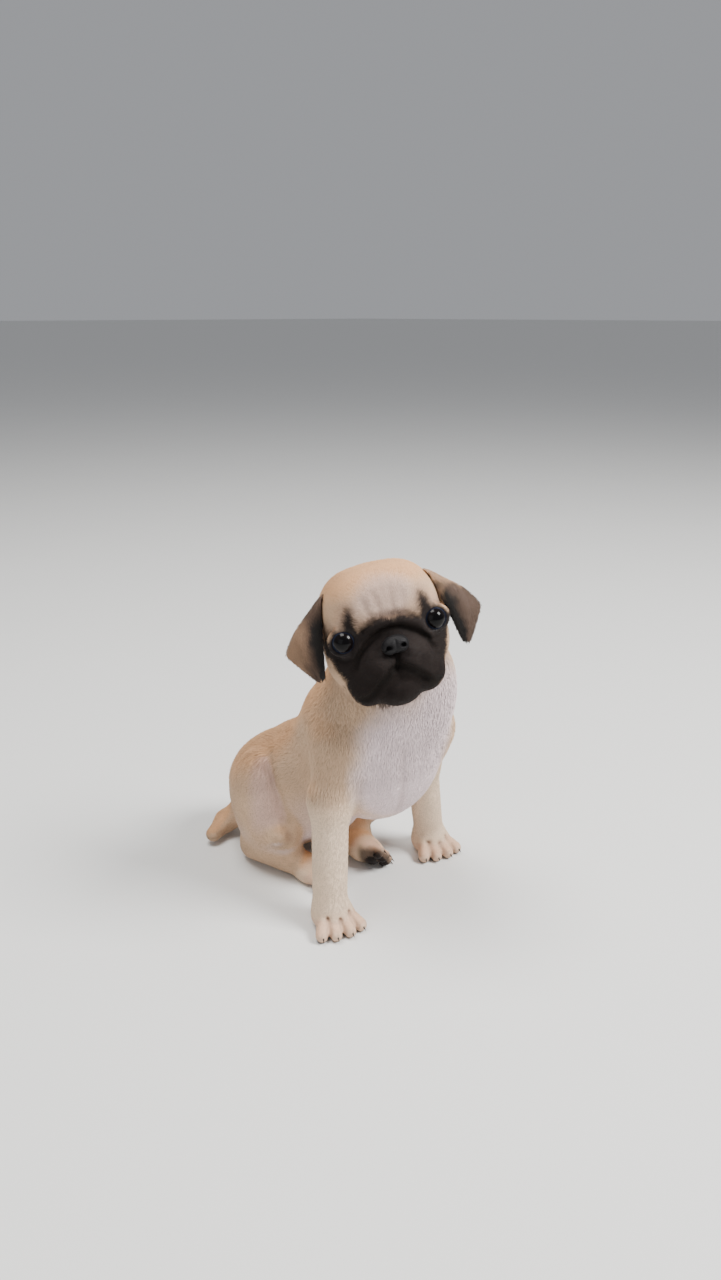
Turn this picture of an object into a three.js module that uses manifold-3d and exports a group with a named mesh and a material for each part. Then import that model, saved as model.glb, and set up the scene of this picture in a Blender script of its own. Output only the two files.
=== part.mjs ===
// A pug puppy of about six weeks, sitting with its head tilted, as a life-size still model.
// Millimetres, +Z up. The chest faces -Y and the puppy's own left side is +X. It stands on Z = 0.
import * as THREE from "three";
import { mergeVertices } from "three/addons/utils/BufferGeometryUtils.js";
import Module from "manifold-3d";

const wasm = await Module();
wasm.setup();

// Driving dimensions
const GAP = 0.3; // between two touching nodes
const BODY_CELL = 9.0; // mesh cells, each where its forms ask for it
const LEG_CELL = 6.2;
const PAW_CELL = 3.6;
const HEAD_CELL = 4;
const NOSE_CELL = 1.9;
const EYE_RADIUS = 7.6;
const EYE_AT = [24.4, 1.6, 0]; // in the face's frame, mirrored for the other eye
const EYE_TURN = 9; // each eye looks this far outward
const LID_RING = 6.9;
const LID_WIDTH = 1.5;
const EAR_THICKNESS = 2.2;
const CLAW_LENGTH = 4.4;
const CLAW_RADIUS = 1.2;
const MOUTH_WIDTH = 1.5;
const FOREPAW_SCALE = 1.03;
const HINDPAW_SCALE = 0.85;
const SHORTEST_EDGE = 0.02;
const LEAN = 0.06; // how far the muzzle's midline swings to the right as it goes down

const degrees = (a) => (a * Math.PI) / 180;
const bearing = (from, to) => (Math.atan2(to[0] - from[0], from[1] - to[1]) * 180) / Math.PI;

// A frame that turns about Z, then X, then Y, and sits at a point.
function frameAt(origin, yaw = 0, pitch = 0, roll = 0) {
  const turn = new THREE.Matrix4().makeRotationZ(degrees(yaw));
  turn.multiply(new THREE.Matrix4().makeRotationX(degrees(pitch)));
  turn.multiply(new THREE.Matrix4().makeRotationY(degrees(roll)));
  return turn.setPosition(...origin);
}

// Distance fields: each takes a point as three numbers and gives millimetres, below zero inside.

// A field drawn in a frame of its own. With a mirror its right half is also its left half, either side of a
// midline that leans below the frame's origin.
function inFrame(frame, field, mirror = false) {
  const e = frame.clone().invert().elements;
  return (x, y, z) => {
    const u = e[0] * x + e[4] * y + e[8] * z + e[12];
    const v = e[1] * x + e[5] * y + e[9] * z + e[13];
    const w = e[2] * x + e[6] * y + e[10] * z + e[14];
    return field(mirror ? Math.abs(u - LEAN * Math.min(w, 0)) : u, v, w);
  };
}

// An ellipsoid, turned by yaw, pitch and roll.
function ball(centre, [a, b, c], turn = [0, 0, 0]) {
  return inFrame(frameAt(centre, ...turn), (u, v, w) => {
    const near = Math.hypot(u / a, v / b, w / c);
    const slope = Math.hypot(u / (a * a), v / (b * b), w / (c * c));
    return slope < 1e-9 ? -Math.min(a, b, c) : (near * (near - 1)) / slope;
  });
}

// A limb with round ends that tapers from one radius to another.
function limb(from, to, fromRadius, toRadius = fromRadius) {
  const [ax, ay, az] = to.map((v, i) => v - from[i]);
  const long = ax * ax + ay * ay + az * az;
  return (x, y, z) => {
    const [u, v, w] = [x - from[0], y - from[1], z - from[2]];
    const t = Math.min(1, Math.max(0, (u * ax + v * ay + w * az) / long));
    return Math.hypot(u - t * ax, v - t * ay, w - t * az) - fromRadius - t * (toRadius - fromRadius);
  };
}

// Two distances joined with a fillet of the given width.
function join(a, b, width) {
  const h = Math.max(width - Math.abs(a - b), 0) / width;
  return Math.min(a, b) - (h * h * width) / 4;
}

// Fields melted into one.
const melt = (width, ...fields) => (x, y, z) =>
  fields.reduce((sum, field) => join(sum, field(x, y, z), width), 1e3);

// A field with others pressed out of it.
const press = (width, field, ...tools) => (x, y, z) =>
  tools.reduce((sum, tool) => -join(-sum, tool(x, y, z), width), field(x, y, z));

// Trunk: the rump points forward, the chest is turned towards its right.
const trunk = melt(
  20,
  ball([-3.5, 53, 40], [30.5, 37, 41], [14, 0, 0]),
  ball([2, 24, 58], [30, 36, 39], [10, -30, 0]),
  ball([8, -14, 91], [34, 33, 42], [-10, -25, 0]),
  ball([12, -34, 97], [34, 27, 38], [-18, 0, 0]),
  ball([9, -34, 126], [31, 27, 30], [-20, 0, 0]),
  ball([20, -50, 143], [21, 21, 30]),
  limb([-6, -20, 121], [-1, -37, 158], 24, 24),
  limb([0, 17, 76], [-3, -13, 112], 24, 21),
);

// Forelegs from the shoulder down; a heading turns the toes, 0 facing -Y.
const FORELEGS = {
  right: {
    shoulder: [-22, -30, 110],
    elbow: [-31.5, -27.5, 76],
    wrist: [-40.5, -36, 17],
    radii: [11.8, 11],
    heading: -20,
  },
  left: {
    shoulder: [38, -42, 106],
    elbow: [47.5, -29, 74],
    wrist: [62.5, -24, 16],
    radii: [11.4, 10.4],
    heading: -18,
  },
};
const foreleg = ({ shoulder, elbow, wrist, radii }) =>
  melt(10, limb(shoulder, elbow, 16, radii[0]), limb(elbow, wrist, ...radii));

// A paw in its own frame: the toes point to -Y, fanned out, in front of a broad pad.
const TOES = [-1, -0.36, 0.36, 1];
const toeTip = (share, scale) => [share * 11.8, -13.2 + 2.8 * share * share, 4.8].map((v) => v * scale);
const toeKnuckle = (share, scale) => [share * 7.5, -3, 8.4].map((v) => v * scale);
const pawShape = (scale) =>
  melt(
    2,
    ball([0, 2 * scale, 7.5 * scale], [13 * scale, 13 * scale, 9.5 * scale]),
    ...TOES.map((share) => limb(toeKnuckle(share, scale), toeTip(share, scale), 4.6 * scale, 4.4 * scale)),
  );
const forepawFrame = ({ wrist, heading }) => frameAt([wrist[0], wrist[1] - 3.4, -1], heading);

// Hind legs, each folded: hip, knee, and a hock that lies on the floor with the foot ahead of it.
const HINDLEGS = {
  right: {
    thigh: [-27, 42, 44],
    thighRadii: [18, 23, 38],
    thighTurn: [4, -6, 0],
    knee: [-28, 20, 30],
    hock: [-27, 50, 10.5],
    foot: [-17, 2, -0.5],
    heading: 12,
    roll: 0,
  },
  left: {
    thigh: [30, 34, 45],
    thighRadii: [18, 26, 35],
    thighTurn: [-20, 14, 0],
    knee: [39, 9, 29],
    hock: [19, 34, 11],
    foot: [16, -13, 6.5],
    heading: 26,
    roll: 50,
  },
};
const thigh = ({ thigh, thighRadii, thighTurn }) => ball(thigh, thighRadii, thighTurn);
const hindpawFrame = ({ foot, heading, roll }) => frameAt(foot, heading, 0, roll);
const shank = (leg) => {
  const { knee, hock } = leg;
  const ankle = new THREE.Vector3(0, 8, 8).applyMatrix4(hindpawFrame(leg)).toArray();
  const fold = knee.map((v, i) => (v + hock[i] + ankle[i]) / 3);
  return melt(8, limb(knee, hock, 11.5, 9.5), limb(hock, ankle, 9.5, 8.5), ball(fold, [9, 17, 12]));
};

const TAIL = [
  [-12, 82, 18],
  [-24, 88, 10],
  [-38, 84, 7],
];
const tail = melt(5, limb(TAIL[0], TAIL[1], 9.5, 7.5), limb(TAIL[1], TAIL[2], 7.5, 5.5));

// The face's frame has its origin midway between the eyes; Y runs back into the skull, Z to the crown.
// The head turns to its right, looks up and tilts.
const FACE = frameAt([-19.8, -62.1, 188.1], -37, -12, -12.2);
const skull = melt(
  9,
  ball([0, 29, 3], [33, 36, 32]),
  ball([15, 22, 10], [17, 26, 22]),
  ball([0, 8, 12], [24, 14, 21]),
  ball([19.6, 16, -12], [14.8, 20, 18]),
  ball([0, 14, -24], [23, 22, 15]),
);
const muzzle = melt(
  4,
  ball([0, 2, -13], [20, 12, 14]),
  ball([9, -4.5, -17], [11, 10.5, 10.5]),
  ball([0, -2, -31.5], [12.5, 11, 9.5]),
  ball([15.5, 1, -26.2], [11, 11.5, 11.4]),
);
const brow = ball([20, 2, 9.5], [9, 6.5, 4.5], [0, 0, 24]);
const headShape = melt(5, skull, muzzle, brow);
const head = inFrame(FACE, headShape, true);

const flesh = melt(
  7,
  melt(12, trunk, tail, ...Object.values(FORELEGS).map(foreleg)),
  ...Object.values(HINDLEGS).map((leg) => melt(9, thigh(leg), shank(leg))),
  ...Object.values(FORELEGS).map((leg) => inFrame(forepawFrame(leg), pawShape(FOREPAW_SCALE))),
  ...Object.values(HINDLEGS).map((leg) => inFrame(hindpawFrame(leg), pawShape(HINDPAW_SCALE))),
  head,
);

// The closed surface where a field is zero, inside a block of space given in a frame. Each cell that the
// surface crosses holds one vertex, slid onto the surface; each crossed edge between cells gives two faces.
// Behind a given depth along Y the cells grow.
function surfaceOf(field, frame, low, high, cell, fineTo = high[1]) {
  const lines = low.map((start, axis) => {
    const line = [start];
    for (let step = cell; line.at(-1) < high[axis]; line.push(line.at(-1) + step))
      if (axis === 1 && line.at(-1) > fineTo) step = Math.min(step * 1.25, 2.4 * cell);
    return line;
  });
  const corner = (i, j, k) => new THREE.Vector3(lines[0][i], lines[1][j], lines[2][k]);
  const place = new THREE.Vector3();
  const local = (x, y, z) => {
    place.set(x, y, z).applyMatrix4(frame);
    const walls = Math.max(low[0] - x, x - high[0], low[1] - y, y - high[1], low[2] - z, z - high[2]);
    return Math.max(field(place.x, place.y, place.z), walls + cell * 1.3) || 1e-6;
  };
  const count = lines.map((line) => line.length);
  const at = (i, j, k) => (k * count[1] + j) * count[0] + i;
  const values = new Float64Array(count[0] * count[1] * count[2]);
  for (let k = 0; k < count[2]; k++)
    for (let j = 0; j < count[1]; j++)
      for (let i = 0; i < count[0]; i++) values[at(i, j, k)] = local(...corner(i, j, k).toArray());

  // Moves a point along the field's slope until the field is zero there.
  const slide = (p) => {
    const f = local(p.x, p.y, p.z);
    const ahead = [local(p.x + 0.05, p.y, p.z), local(p.x, p.y + 0.05, p.z), local(p.x, p.y, p.z + 0.05)];
    const slope = new THREE.Vector3(...ahead);
    slope.subScalar(f).divideScalar(0.05);
    const most = cell / 3;
    p.addScaledVector(slope, -Math.max(-most, Math.min(most, f)) / Math.max(slope.lengthSq(), 0.2));
  };
  const points = [];
  const seen = new Map();
  const vertex = (cellAt) => {
    const key = at(...cellAt);
    if (seen.has(key)) return seen.get(key);
    const sum = new THREE.Vector3();
    let crossings = 0;
    for (let edge = 0; edge < 12; edge++) {
      const axis = edge % 3;
      const from = [...cellAt];
      from[(axis + 1) % 3] += (edge / 3) & 1;
      from[(axis + 2) % 3] += edge >= 6 ? 1 : 0;
      const to = [...from];
      to[axis] += 1;
      const [a, b] = [values[at(...from)], values[at(...to)]];
      if (a < 0 === b < 0) continue;
      sum.add(corner(...from).lerp(corner(...to), a / (a - b)));
      crossings++;
    }
    sum.divideScalar(crossings);
    for (let round = 0; round < 3; round++) slide(sum);
    points.push(sum);
    seen.set(key, points.length - 1);
    return points.length - 1;
  };

  const faces = [];
  for (let k = 1; k < count[2] - 1; k++)
    for (let j = 1; j < count[1] - 1; j++)
      for (let i = 1; i < count[0] - 1; i++)
        for (let axis = 0; axis < 3; axis++) {
          const next = [i, j, k];
          next[axis] += 1;
          const inside = values[at(i, j, k)] < 0;
          if (inside === values[at(...next)] < 0) continue;
          const ring = [[1, 1], [0, 1], [0, 0], [1, 0]].map(([back, down]) => {
            const cellAt = [i, j, k];
            cellAt[(axis + 1) % 3] -= back;
            cellAt[(axis + 2) % 3] -= down;
            return vertex(cellAt);
          });
          if (!inside) ring.reverse();
          const [a, b, c, d] = ring;
          const shortWay = points[a].distanceTo(points[c]) < points[b].distanceTo(points[d]);
          faces.push(...(shortWay ? [a, b, c, a, c, d] : [a, b, d, b, c, d]));
        }
  const made = new THREE.BufferGeometry().setFromPoints(points);
  made.setIndex(faces);
  return solid(made.applyMatrix4(frame));
}

// A closed geometry as a solid that can be joined and cut.
function solid(geometry) {
  const bare = geometry.clone();
  bare.deleteAttribute("normal");
  bare.deleteAttribute("uv");
  const merged = mergeVertices(bare, 1e-4);
  const vertProperties = merged.attributes.position.array;
  const triVerts = new Uint32Array(merged.index.array);
  return new wasm.Manifold(new wasm.Mesh({ numProp: 3, vertProperties, triVerts, tolerance: SHORTEST_EDGE }));
}

// The largest closed surface of a solid.
const largest = (made) => made.decompose().sort((a, b) => b.volume() - a.volume())[0];
const union = (pieces) => wasm.Manifold.union(pieces);

// A region of space as a solid, grown by a margin: a block from low to high, or an egg shape by its radii.
function space({ frame, low, high, radii }, margin = 0) {
  if (radii) {
    const egg = new THREE.SphereGeometry(1, 20, 12).scale(...radii.map((v) => v + margin));
    return solid(egg.applyMatrix4(frame));
  }
  const size = high.map((v, i) => v - low[i] + 2 * margin);
  const middle = high.map((v, i) => (v + low[i]) / 2);
  return solid(new THREE.BoxGeometry(...size).translate(...middle).applyMatrix4(frame));
}

const here = frameAt([0, 0, 0]);
const aboveFloor = space({ frame: here, low: [-200, -200, 0], high: [200, 200, 400] });
const model = new THREE.Group();

// Adds one named mesh to the model.
function addNode(name, made, colour, roughness = 0.85) {
  const mesh = largest(made).getMesh();
  const geometry = new THREE.BufferGeometry();
  geometry.setAttribute("position", new THREE.BufferAttribute(mesh.vertProperties, 3));
  geometry.setIndex(new THREE.BufferAttribute(mesh.triVerts, 1));
  const material = new THREE.MeshStandardMaterial({ color: colour, roughness, metalness: 0 });
  const node = new THREE.Mesh(geometry, material);
  node.name = name;
  model.add(node);
}

const FAWN = 0xd8b48c;
const CREAM = 0xe8d2b4;
const BLACK = 0x1a1614;
const EAR_BROWN = 0x4a3a30;

const SIDES = { right: -1, left: 1 };

// Regions that part the flesh into nodes. An earlier one wins where two meet, and the torso is the rest.
const regions = [
  {
    name: "head",
    frame: FACE.clone().multiply(frameAt([0, 13, -44], 0, 32)),
    low: [-60, -60, 0],
    high: [60, 90, 110],
    mesh: [FACE, [-50, -32, -54], [50, 82, 54], HEAD_CELL, 6],
    colour: FAWN,
  },
  {
    name: "neck",
    frame: frameAt([2, -34, 138], -20, 12),
    low: [-60, -60, 0],
    high: [60, 60, 70],
    cell: BODY_CELL - 1,
    colour: FAWN,
  },
  {
    name: "tail",
    frame: frameAt(TAIL[0], 51),
    low: [-22, 1, -14],
    high: [22, 40, 20],
    cell: LEG_CELL - 1,
    colour: FAWN,
  },
];
for (const [side, away] of Object.entries(SIDES)) {
  const fore = FORELEGS[side];
  const hind = HINDLEGS[side];
  regions.push(
    {
      name: `front_${side}_paw`,
      frame: forepawFrame(fore),
      low: [-24, -26, -6],
      high: [24, 24, 20],
      cell: PAW_CELL,
      colour: CREAM,
    },
    {
      name: `front_${side}_leg`,
      frame: frameAt([fore.elbow[0] + away * 9, fore.elbow[1], 0], fore.heading / 2),
      low: [-24, -36, 0],
      high: [24, 22, fore.elbow[2]],
      cell: LEG_CELL,
      colour: CREAM,
    },
    {
      name: `hind_${side}_paw`,
      frame: hindpawFrame(hind),
      low: [-22, -26, -20],
      high: [22, 7, 26],
      cell: PAW_CELL,
      colour: CREAM,
    },
    {
      name: `hind_${side}_thigh`,
      frame: frameAt([hind.thigh[0] + away * 2, hind.thigh[1] - 4, hind.thigh[2] - 2], ...hind.thighTurn),
      radii: [hind.thighRadii[0] + 4, hind.thighRadii[1] + 5, hind.thighRadii[2] + 3],
      cell: LEG_CELL + 0.5,
      colour: FAWN,
    },
    {
      name: `hind_${side}_shank`,
      frame: frameAt([hind.hock[0], hind.hock[1], 0], bearing(hind.hock, hind.foot)),
      low: [-17, -48, 0],
      high: [17, 16, 26],
      cell: LEG_CELL - 0.2,
      colour: CREAM,
    },
  );
}

// Each region's share of the flesh, less the regions before it.
const shares = {};
const taken = [];
for (const region of regions) {
  const { frame, radii, cell } = region;
  const low = (region.low ?? radii.map((v) => -v)).map((v) => v - 2.3 * cell);
  const high = (region.high ?? radii).map((v) => v + 2.3 * cell);
  const made = surfaceOf(flesh, ...(region.mesh ?? [frame, low, high, cell]));
  const own = made.intersect(space(region)).intersect(aboveFloor);
  shares[region.name] = taken.reduce((left, earlier) => left.subtract(space(earlier, GAP)), own);
  taken.push(region);
}
const whole = surfaceOf(flesh, here, [-90, -110, -14], [100, 120, 200], BODY_CELL).intersect(aboveFloor);
addNode("torso", taken.reduce((left, region) => left.subtract(space(region, GAP)), whole), FAWN);

// Eyes, and the two lids as one ring round each.
const faceFrame = (...place) => FACE.clone().multiply(frameAt(...place));
const lids = [];
const sockets = [];
for (const [side, away] of Object.entries(SIDES)) {
  const frame = faceFrame([away * EYE_AT[0], EYE_AT[1], EYE_AT[2]], away * EYE_TURN);
  const eyeball = (radius) => solid(new THREE.SphereGeometry(radius, 16, 12).applyMatrix4(frame));
  addNode(`eye_${side}`, eyeball(EYE_RADIUS), BLACK, 0.1);
  sockets.push(eyeball(EYE_RADIUS + GAP));
  const ring = new THREE.TorusGeometry(LID_RING, LID_WIDTH, 6, 18).rotateX(Math.PI / 2).scale(1.04, 1, 0.96);
  ring.translate(0, -Math.sqrt(EYE_RADIUS ** 2 - LID_RING ** 2) - 0.4, 0);
  lids.push(solid(ring.applyMatrix4(frame)));
}

// Nose with its two nostrils; the head's recess for it is the same shape grown by the gap.
const noseShape = melt(
  2.5,
  ball([0, -12.5, -5.8], [6.2, 4.2, 4.6]),
  ball([3.6, -12.8, -6.9], [3.4, 3.6, 3.6]),
);
const noseSolid = (margin) => {
  const grown = (x, y, z) => noseShape(x, y, z) - margin;
  return surfaceOf(inFrame(FACE, grown, true), FACE, [-14, -22, -18], [14, -2, 4], NOSE_CELL);
};
const nostrils = Object.values(SIDES).map((away) =>
  solid(
    new THREE.SphereGeometry(1, 12, 8)
      .scale(1.5, 2.6, 1.1)
      .rotateY(away * -0.5)
      .applyMatrix4(faceFrame([away * 4.1 - 0.5, -16.2, -6.9])),
  ),
);
addNode("nose", noseSolid(0).subtract(union(nostrils)), BLACK, 0.5);

// A point of the face's surface seen from the front, at a place across and up.
function onFace(x, z) {
  let y = -40;
  for (let step = 0; step < 60; step++) y += 0.8 * headShape(Math.abs(x), y, z);
  return new THREE.Vector3(x + LEAN * Math.min(z, 0), y, z);
}

// A groove with a diamond section along a line of places on the face.
function groove(places, width) {
  const path = new THREE.CatmullRomCurve3(places.map(([x, z]) => onFace(x, z)));
  const section = new THREE.Shape([
    new THREE.Vector2(width, 0),
    new THREE.Vector2(0, width),
    new THREE.Vector2(-width, 0),
    new THREE.Vector2(0, -width),
  ]);
  const settings = { steps: 3 * places.length, extrudePath: path, bevelEnabled: false };
  const made = new THREE.ExtrudeGeometry(section, settings);
  return solid(made.applyMatrix4(FACE));
}
const MOUTH = [
  [0, -17.6],
  [4, -19],
  [9, -23],
  [13.5, -28],
  [17.5, -31],
  [22, -32],
];
const lipLine = [...MOUTH.slice(1).reverse().map(([x, z]) => [-x, z]), ...MOUTH];
const grooves = [groove(lipLine, MOUTH_WIDTH), groove([[0, -10.5], [0, -13], [0, -15.5], [0, -18]], 1)];
const face = shares.head.add(union(lids)).subtract(union([...sockets, ...grooves, noseSolid(GAP)]));
addNode("head", face, FAWN);

// Ears: each is a leaf that rises from its root, folds over and hangs, so its cup opens forward.
const EAR = {
  root: [[22, 26, 26], [30, 37, -2]],
  fold: [[30, 13, 25.5], [58.5, 18.5, -0.5]],
  tip: [[38.5, 5.5, -17.5], [42.5, 7, -19]],
};
const EAR_ROWS = 12;
const EAR_COLUMNS = 7;

// A point of the ear's leaf: across from its inner to its outer edge, along from the root to the tip.
function leaf(across, along) {
  const fold = 2 * along - 1;
  const down = (fold + Math.hypot(fold, 0.16)) / 2;
  const back = (-fold + Math.hypot(fold, 0.16)) / 2;
  const [root, ridge, tip] = Object.values(EAR).map(([inner, outer]) =>
    new THREE.Vector3(...inner).lerp(new THREE.Vector3(...outer), across),
  );
  const p = ridge.clone().addScaledVector(tip.sub(ridge), down).addScaledVector(root.sub(ridge), back);
  const bow = Math.sin(Math.PI * across) * (0.4 + 0.6 * Math.sin(Math.PI * Math.min(1, down)));
  return p.add(new THREE.Vector3(0.75, -0.5, 0.4).multiplyScalar(4.2 * bow));
}

function ear(away) {
  const places = [];
  for (const face of [1, -1])
    for (let row = 0; row <= EAR_ROWS; row++)
      for (let column = 0; column <= EAR_COLUMNS; column++) {
        const [s, t] = [column / EAR_COLUMNS, row / EAR_ROWS];
        const across = leaf(s + 0.01, t).sub(leaf(s - 0.01, t));
        const along = leaf(s, t + 0.01).sub(leaf(s, t - 0.01));
        const rim = Math.min(1, 0.45 + 5 * Math.min(s, 1 - s, 1 - t));
        const out = across.cross(along).setLength((face * rim * EAR_THICKNESS) / 2);
        const p = leaf(s, t).add(out);
        places.push(new THREE.Vector3(away * p.x, p.y, p.z));
      }
  const wide = EAR_COLUMNS + 1;
  const far = wide * (EAR_ROWS + 1);
  const faces = [];
  const quad = (a, b, c, d) => faces.push(a, b, c, a, c, d);
  for (let row = 0; row < EAR_ROWS; row++)
    for (let column = 0; column < EAR_COLUMNS; column++) {
      const a = row * wide + column;
      quad(a, a + 1, a + 1 + wide, a + wide);
      faces.push(far + a, far + a + 1 + wide, far + a + 1, far + a, far + a + wide, far + a + 1 + wide);
    }
  for (let row = 0; row < EAR_ROWS; row++) {
    const a = row * wide;
    quad(a, a + wide, far + a + wide, far + a);
    const b = a + EAR_COLUMNS;
    quad(b + wide, b, far + b, far + b + wide);
  }
  for (let column = 0; column < EAR_COLUMNS; column++) {
    quad(column + 1, column, far + column, far + column + 1);
    const b = EAR_ROWS * wide + column;
    quad(b, b + 1, far + b + 1, far + b);
  }
  if (away < 0) faces.reverse();
  const made = new THREE.BufferGeometry().setFromPoints(places);
  made.setIndex(faces);
  return solid(made.applyMatrix4(FACE));
}
const grown = (x, y, z) => flesh(x, y, z) - GAP;
const grownHead = surfaceOf(grown, FACE, [-50, -20, -40], [50, 70, 50], HEAD_CELL);
for (const [side, away] of Object.entries(SIDES)) {
  addNode(`ear_${side}`, ear(away).subtract(grownHead), EAR_BROWN);
}

// Claws: short bent cones out of the end of each toe.
function claw(share, scale) {
  const made = new THREE.ConeGeometry(CLAW_RADIUS * scale, CLAW_LENGTH, 6, 3);
  made.translate(0, CLAW_LENGTH / 2, 0);
  const { position } = made.attributes;
  for (let i = 0; i < position.count; i++) {
    const rise = position.getY(i) / CLAW_LENGTH;
    position.setZ(i, position.getZ(i) - 1.6 * rise * rise);
  }
  const [x, y, z] = toeTip(share, scale);
  const turn = new THREE.Matrix4().makeRotationZ(share * 0.25);
  turn.multiply(new THREE.Matrix4().makeRotationX(Math.PI));
  return made.applyMatrix4(turn.setPosition(x * 1.02, y - 2.4 * scale, z + 0.4));
}
const withClaws = (paw, frame, scale) =>
  union([paw, ...TOES.map((share) => solid(claw(share, scale).applyMatrix4(frame)))]).intersect(aboveFloor);
for (const side of Object.keys(SIDES)) {
  const front = `front_${side}_paw`;
  const back = `hind_${side}_paw`;
  shares[front] = withClaws(shares[front], forepawFrame(FORELEGS[side]), FOREPAW_SCALE);
  shares[back] = withClaws(shares[back], hindpawFrame(HINDLEGS[side]), HINDPAW_SCALE);
}
for (const { name, colour } of regions) if (name !== "head") addNode(name, shares[name], colour);

// The row's origin is on the floor, under the middle of the whole model.
const reach = new THREE.Box3().setFromObject(model);
for (const node of model.children)
  node.geometry.translate(-(reach.min.x + reach.max.x) / 2, -(reach.min.y + reach.max.y) / 2, 0);

export default model;
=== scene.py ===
"""Looks of the pug puppy: skin, coat, ears, eyes, nose and claws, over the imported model."""

import logging
import math
from dataclasses import dataclass, field, replace
from enum import Enum
from typing import Callable, Iterable, Sequence

import bpy
import numpy as np
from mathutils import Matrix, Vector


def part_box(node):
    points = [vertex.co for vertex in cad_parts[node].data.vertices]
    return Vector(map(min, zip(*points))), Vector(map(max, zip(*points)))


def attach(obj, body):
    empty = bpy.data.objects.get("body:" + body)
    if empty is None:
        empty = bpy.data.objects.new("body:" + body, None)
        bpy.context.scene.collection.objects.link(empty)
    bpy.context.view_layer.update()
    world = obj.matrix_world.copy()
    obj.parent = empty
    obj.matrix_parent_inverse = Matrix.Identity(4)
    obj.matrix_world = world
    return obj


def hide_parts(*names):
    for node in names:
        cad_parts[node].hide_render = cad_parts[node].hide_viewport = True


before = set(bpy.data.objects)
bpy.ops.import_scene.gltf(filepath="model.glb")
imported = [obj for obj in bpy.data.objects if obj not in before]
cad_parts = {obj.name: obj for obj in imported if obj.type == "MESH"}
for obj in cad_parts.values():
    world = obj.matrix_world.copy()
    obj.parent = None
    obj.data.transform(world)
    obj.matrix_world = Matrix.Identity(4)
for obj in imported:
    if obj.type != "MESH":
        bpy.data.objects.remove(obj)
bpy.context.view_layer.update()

LOG = logging.getLogger("pug")

Vec = tuple[float, float, float]
Colour = tuple[float, float, float]
Field = Callable[[np.ndarray], np.ndarray]

SEED = 11
EYE_AT: Vec = (24.4, 1.6, 0.0)  # the left eye's centre, in the face's frame
EYE_MIDDLE: Vec = (0.0, *EYE_AT[1:])
LEAN = 0.06  # how far the muzzle's midline swings to the right as it goes down


# Places and distance fields, in the millimetres that the solids were drawn in.


@dataclass(frozen=True)
class Place:
    """A frame of its own: it turns about Z, then X, then Y, and sits at a point (mm, degrees)."""

    origin: Vec = (0.0, 0.0, 0.0)
    yaw: float = 0.0
    pitch: float = 0.0
    roll: float = 0.0

    def turn(self) -> np.ndarray:
        """The 3 by 3 rotation of the frame."""
        angles = np.radians([self.yaw, self.pitch, self.roll])
        (ca, cb, cc), (sa, sb, sc) = np.cos(angles), np.sin(angles)
        about_z = np.array([[ca, -sa, 0], [sa, ca, 0], [0, 0, 1]])
        about_x = np.array([[1, 0, 0], [0, cb, -sb], [0, sb, cb]])
        about_y = np.array([[cc, 0, sc], [0, 1, 0], [-sc, 0, cc]])
        return (about_z @ about_x @ about_y).astype(np.float32)

    def into(self, points: np.ndarray) -> np.ndarray:
        """Points of the model as seen in this frame."""
        return (points - np.float32(self.origin)) @ self.turn()

    def out(self, points: np.ndarray) -> np.ndarray:
        """Points of this frame as points of the model."""
        return np.asarray(points, np.float32) @ self.turn().T + np.float32(self.origin)


def ball(centre: Vec, radii: Vec, turn: Vec = (0.0, 0.0, 0.0)) -> Field:
    """An ellipsoid's distance field.

    Args:
        centre: Its middle.
        radii: Half its size along its own three axes.
        turn: Yaw, pitch and roll in degrees.

    Returns:
        The field, below zero inside.
    """
    place = Place(centre, *turn)
    size = np.float32(radii)
    least = float(min(radii))

    def distance(points: np.ndarray) -> np.ndarray:
        """Distance of each point."""
        local = place.into(points) / size
        near = np.sqrt((local * local).sum(1))
        slope = np.sqrt(((local / size) ** 2).sum(1))
        return np.where(slope < 1e-6, -least, near * (near - 1) / np.maximum(slope, 1e-6))

    return distance


def limb(start: Vec, end: Vec, radius: float, end_radius: float | None = None) -> Field:
    """A limb with round ends that tapers from one radius to the other.

    Args:
        start: Middle of its first end.
        end: Middle of its last end.
        radius: Radius at the first end.
        end_radius: Radius at the last end, or the same where it is left out.

    Returns:
        The field, below zero inside.
    """
    origin = np.float32(start)
    along = np.float32(end) - origin
    long = float(along @ along)
    last = radius if end_radius is None else end_radius

    def distance(points: np.ndarray) -> np.ndarray:
        """Distance of each point."""
        local = points - origin
        share = np.clip(local @ along / long, 0, 1)
        away = local - share[:, None] * along
        return np.sqrt((away * away).sum(1)) - (radius + share * (last - radius))

    return distance


def join(a: np.ndarray, b: np.ndarray, width: float) -> np.ndarray:
    """Two distances joined with a fillet of the given width."""
    overlap = np.maximum(width - np.abs(a - b), 0) / width
    return np.minimum(a, b) - overlap * overlap * (width / 4)


def melt(width: float, *fields: Field) -> Field:
    """Fields melted into one, with a fillet of the given width between them."""

    def distance(points: np.ndarray) -> np.ndarray:
        """Distance of each point."""
        total = np.full(len(points), 1e3, np.float32)
        for one in fields:
            total = join(total, one(points), width)
        return total

    return distance


def placed(place: Place, shape: Field) -> Field:
    """A field that was drawn in a frame of its own, seen from the model."""
    return lambda points: shape(place.into(points))


def step(low: float, high: float, values: np.ndarray) -> np.ndarray:
    """A smooth step from 0 at low to 1 at high, falling where high is below low."""
    share = np.clip((values - low) / (high - low), 0, 1)
    return share * share * (3 - 2 * share)


def unit(vectors: np.ndarray) -> np.ndarray:
    """Vectors at length one."""
    return vectors / np.maximum(np.linalg.norm(vectors, axis=1, keepdims=True), 1e-9)


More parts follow.
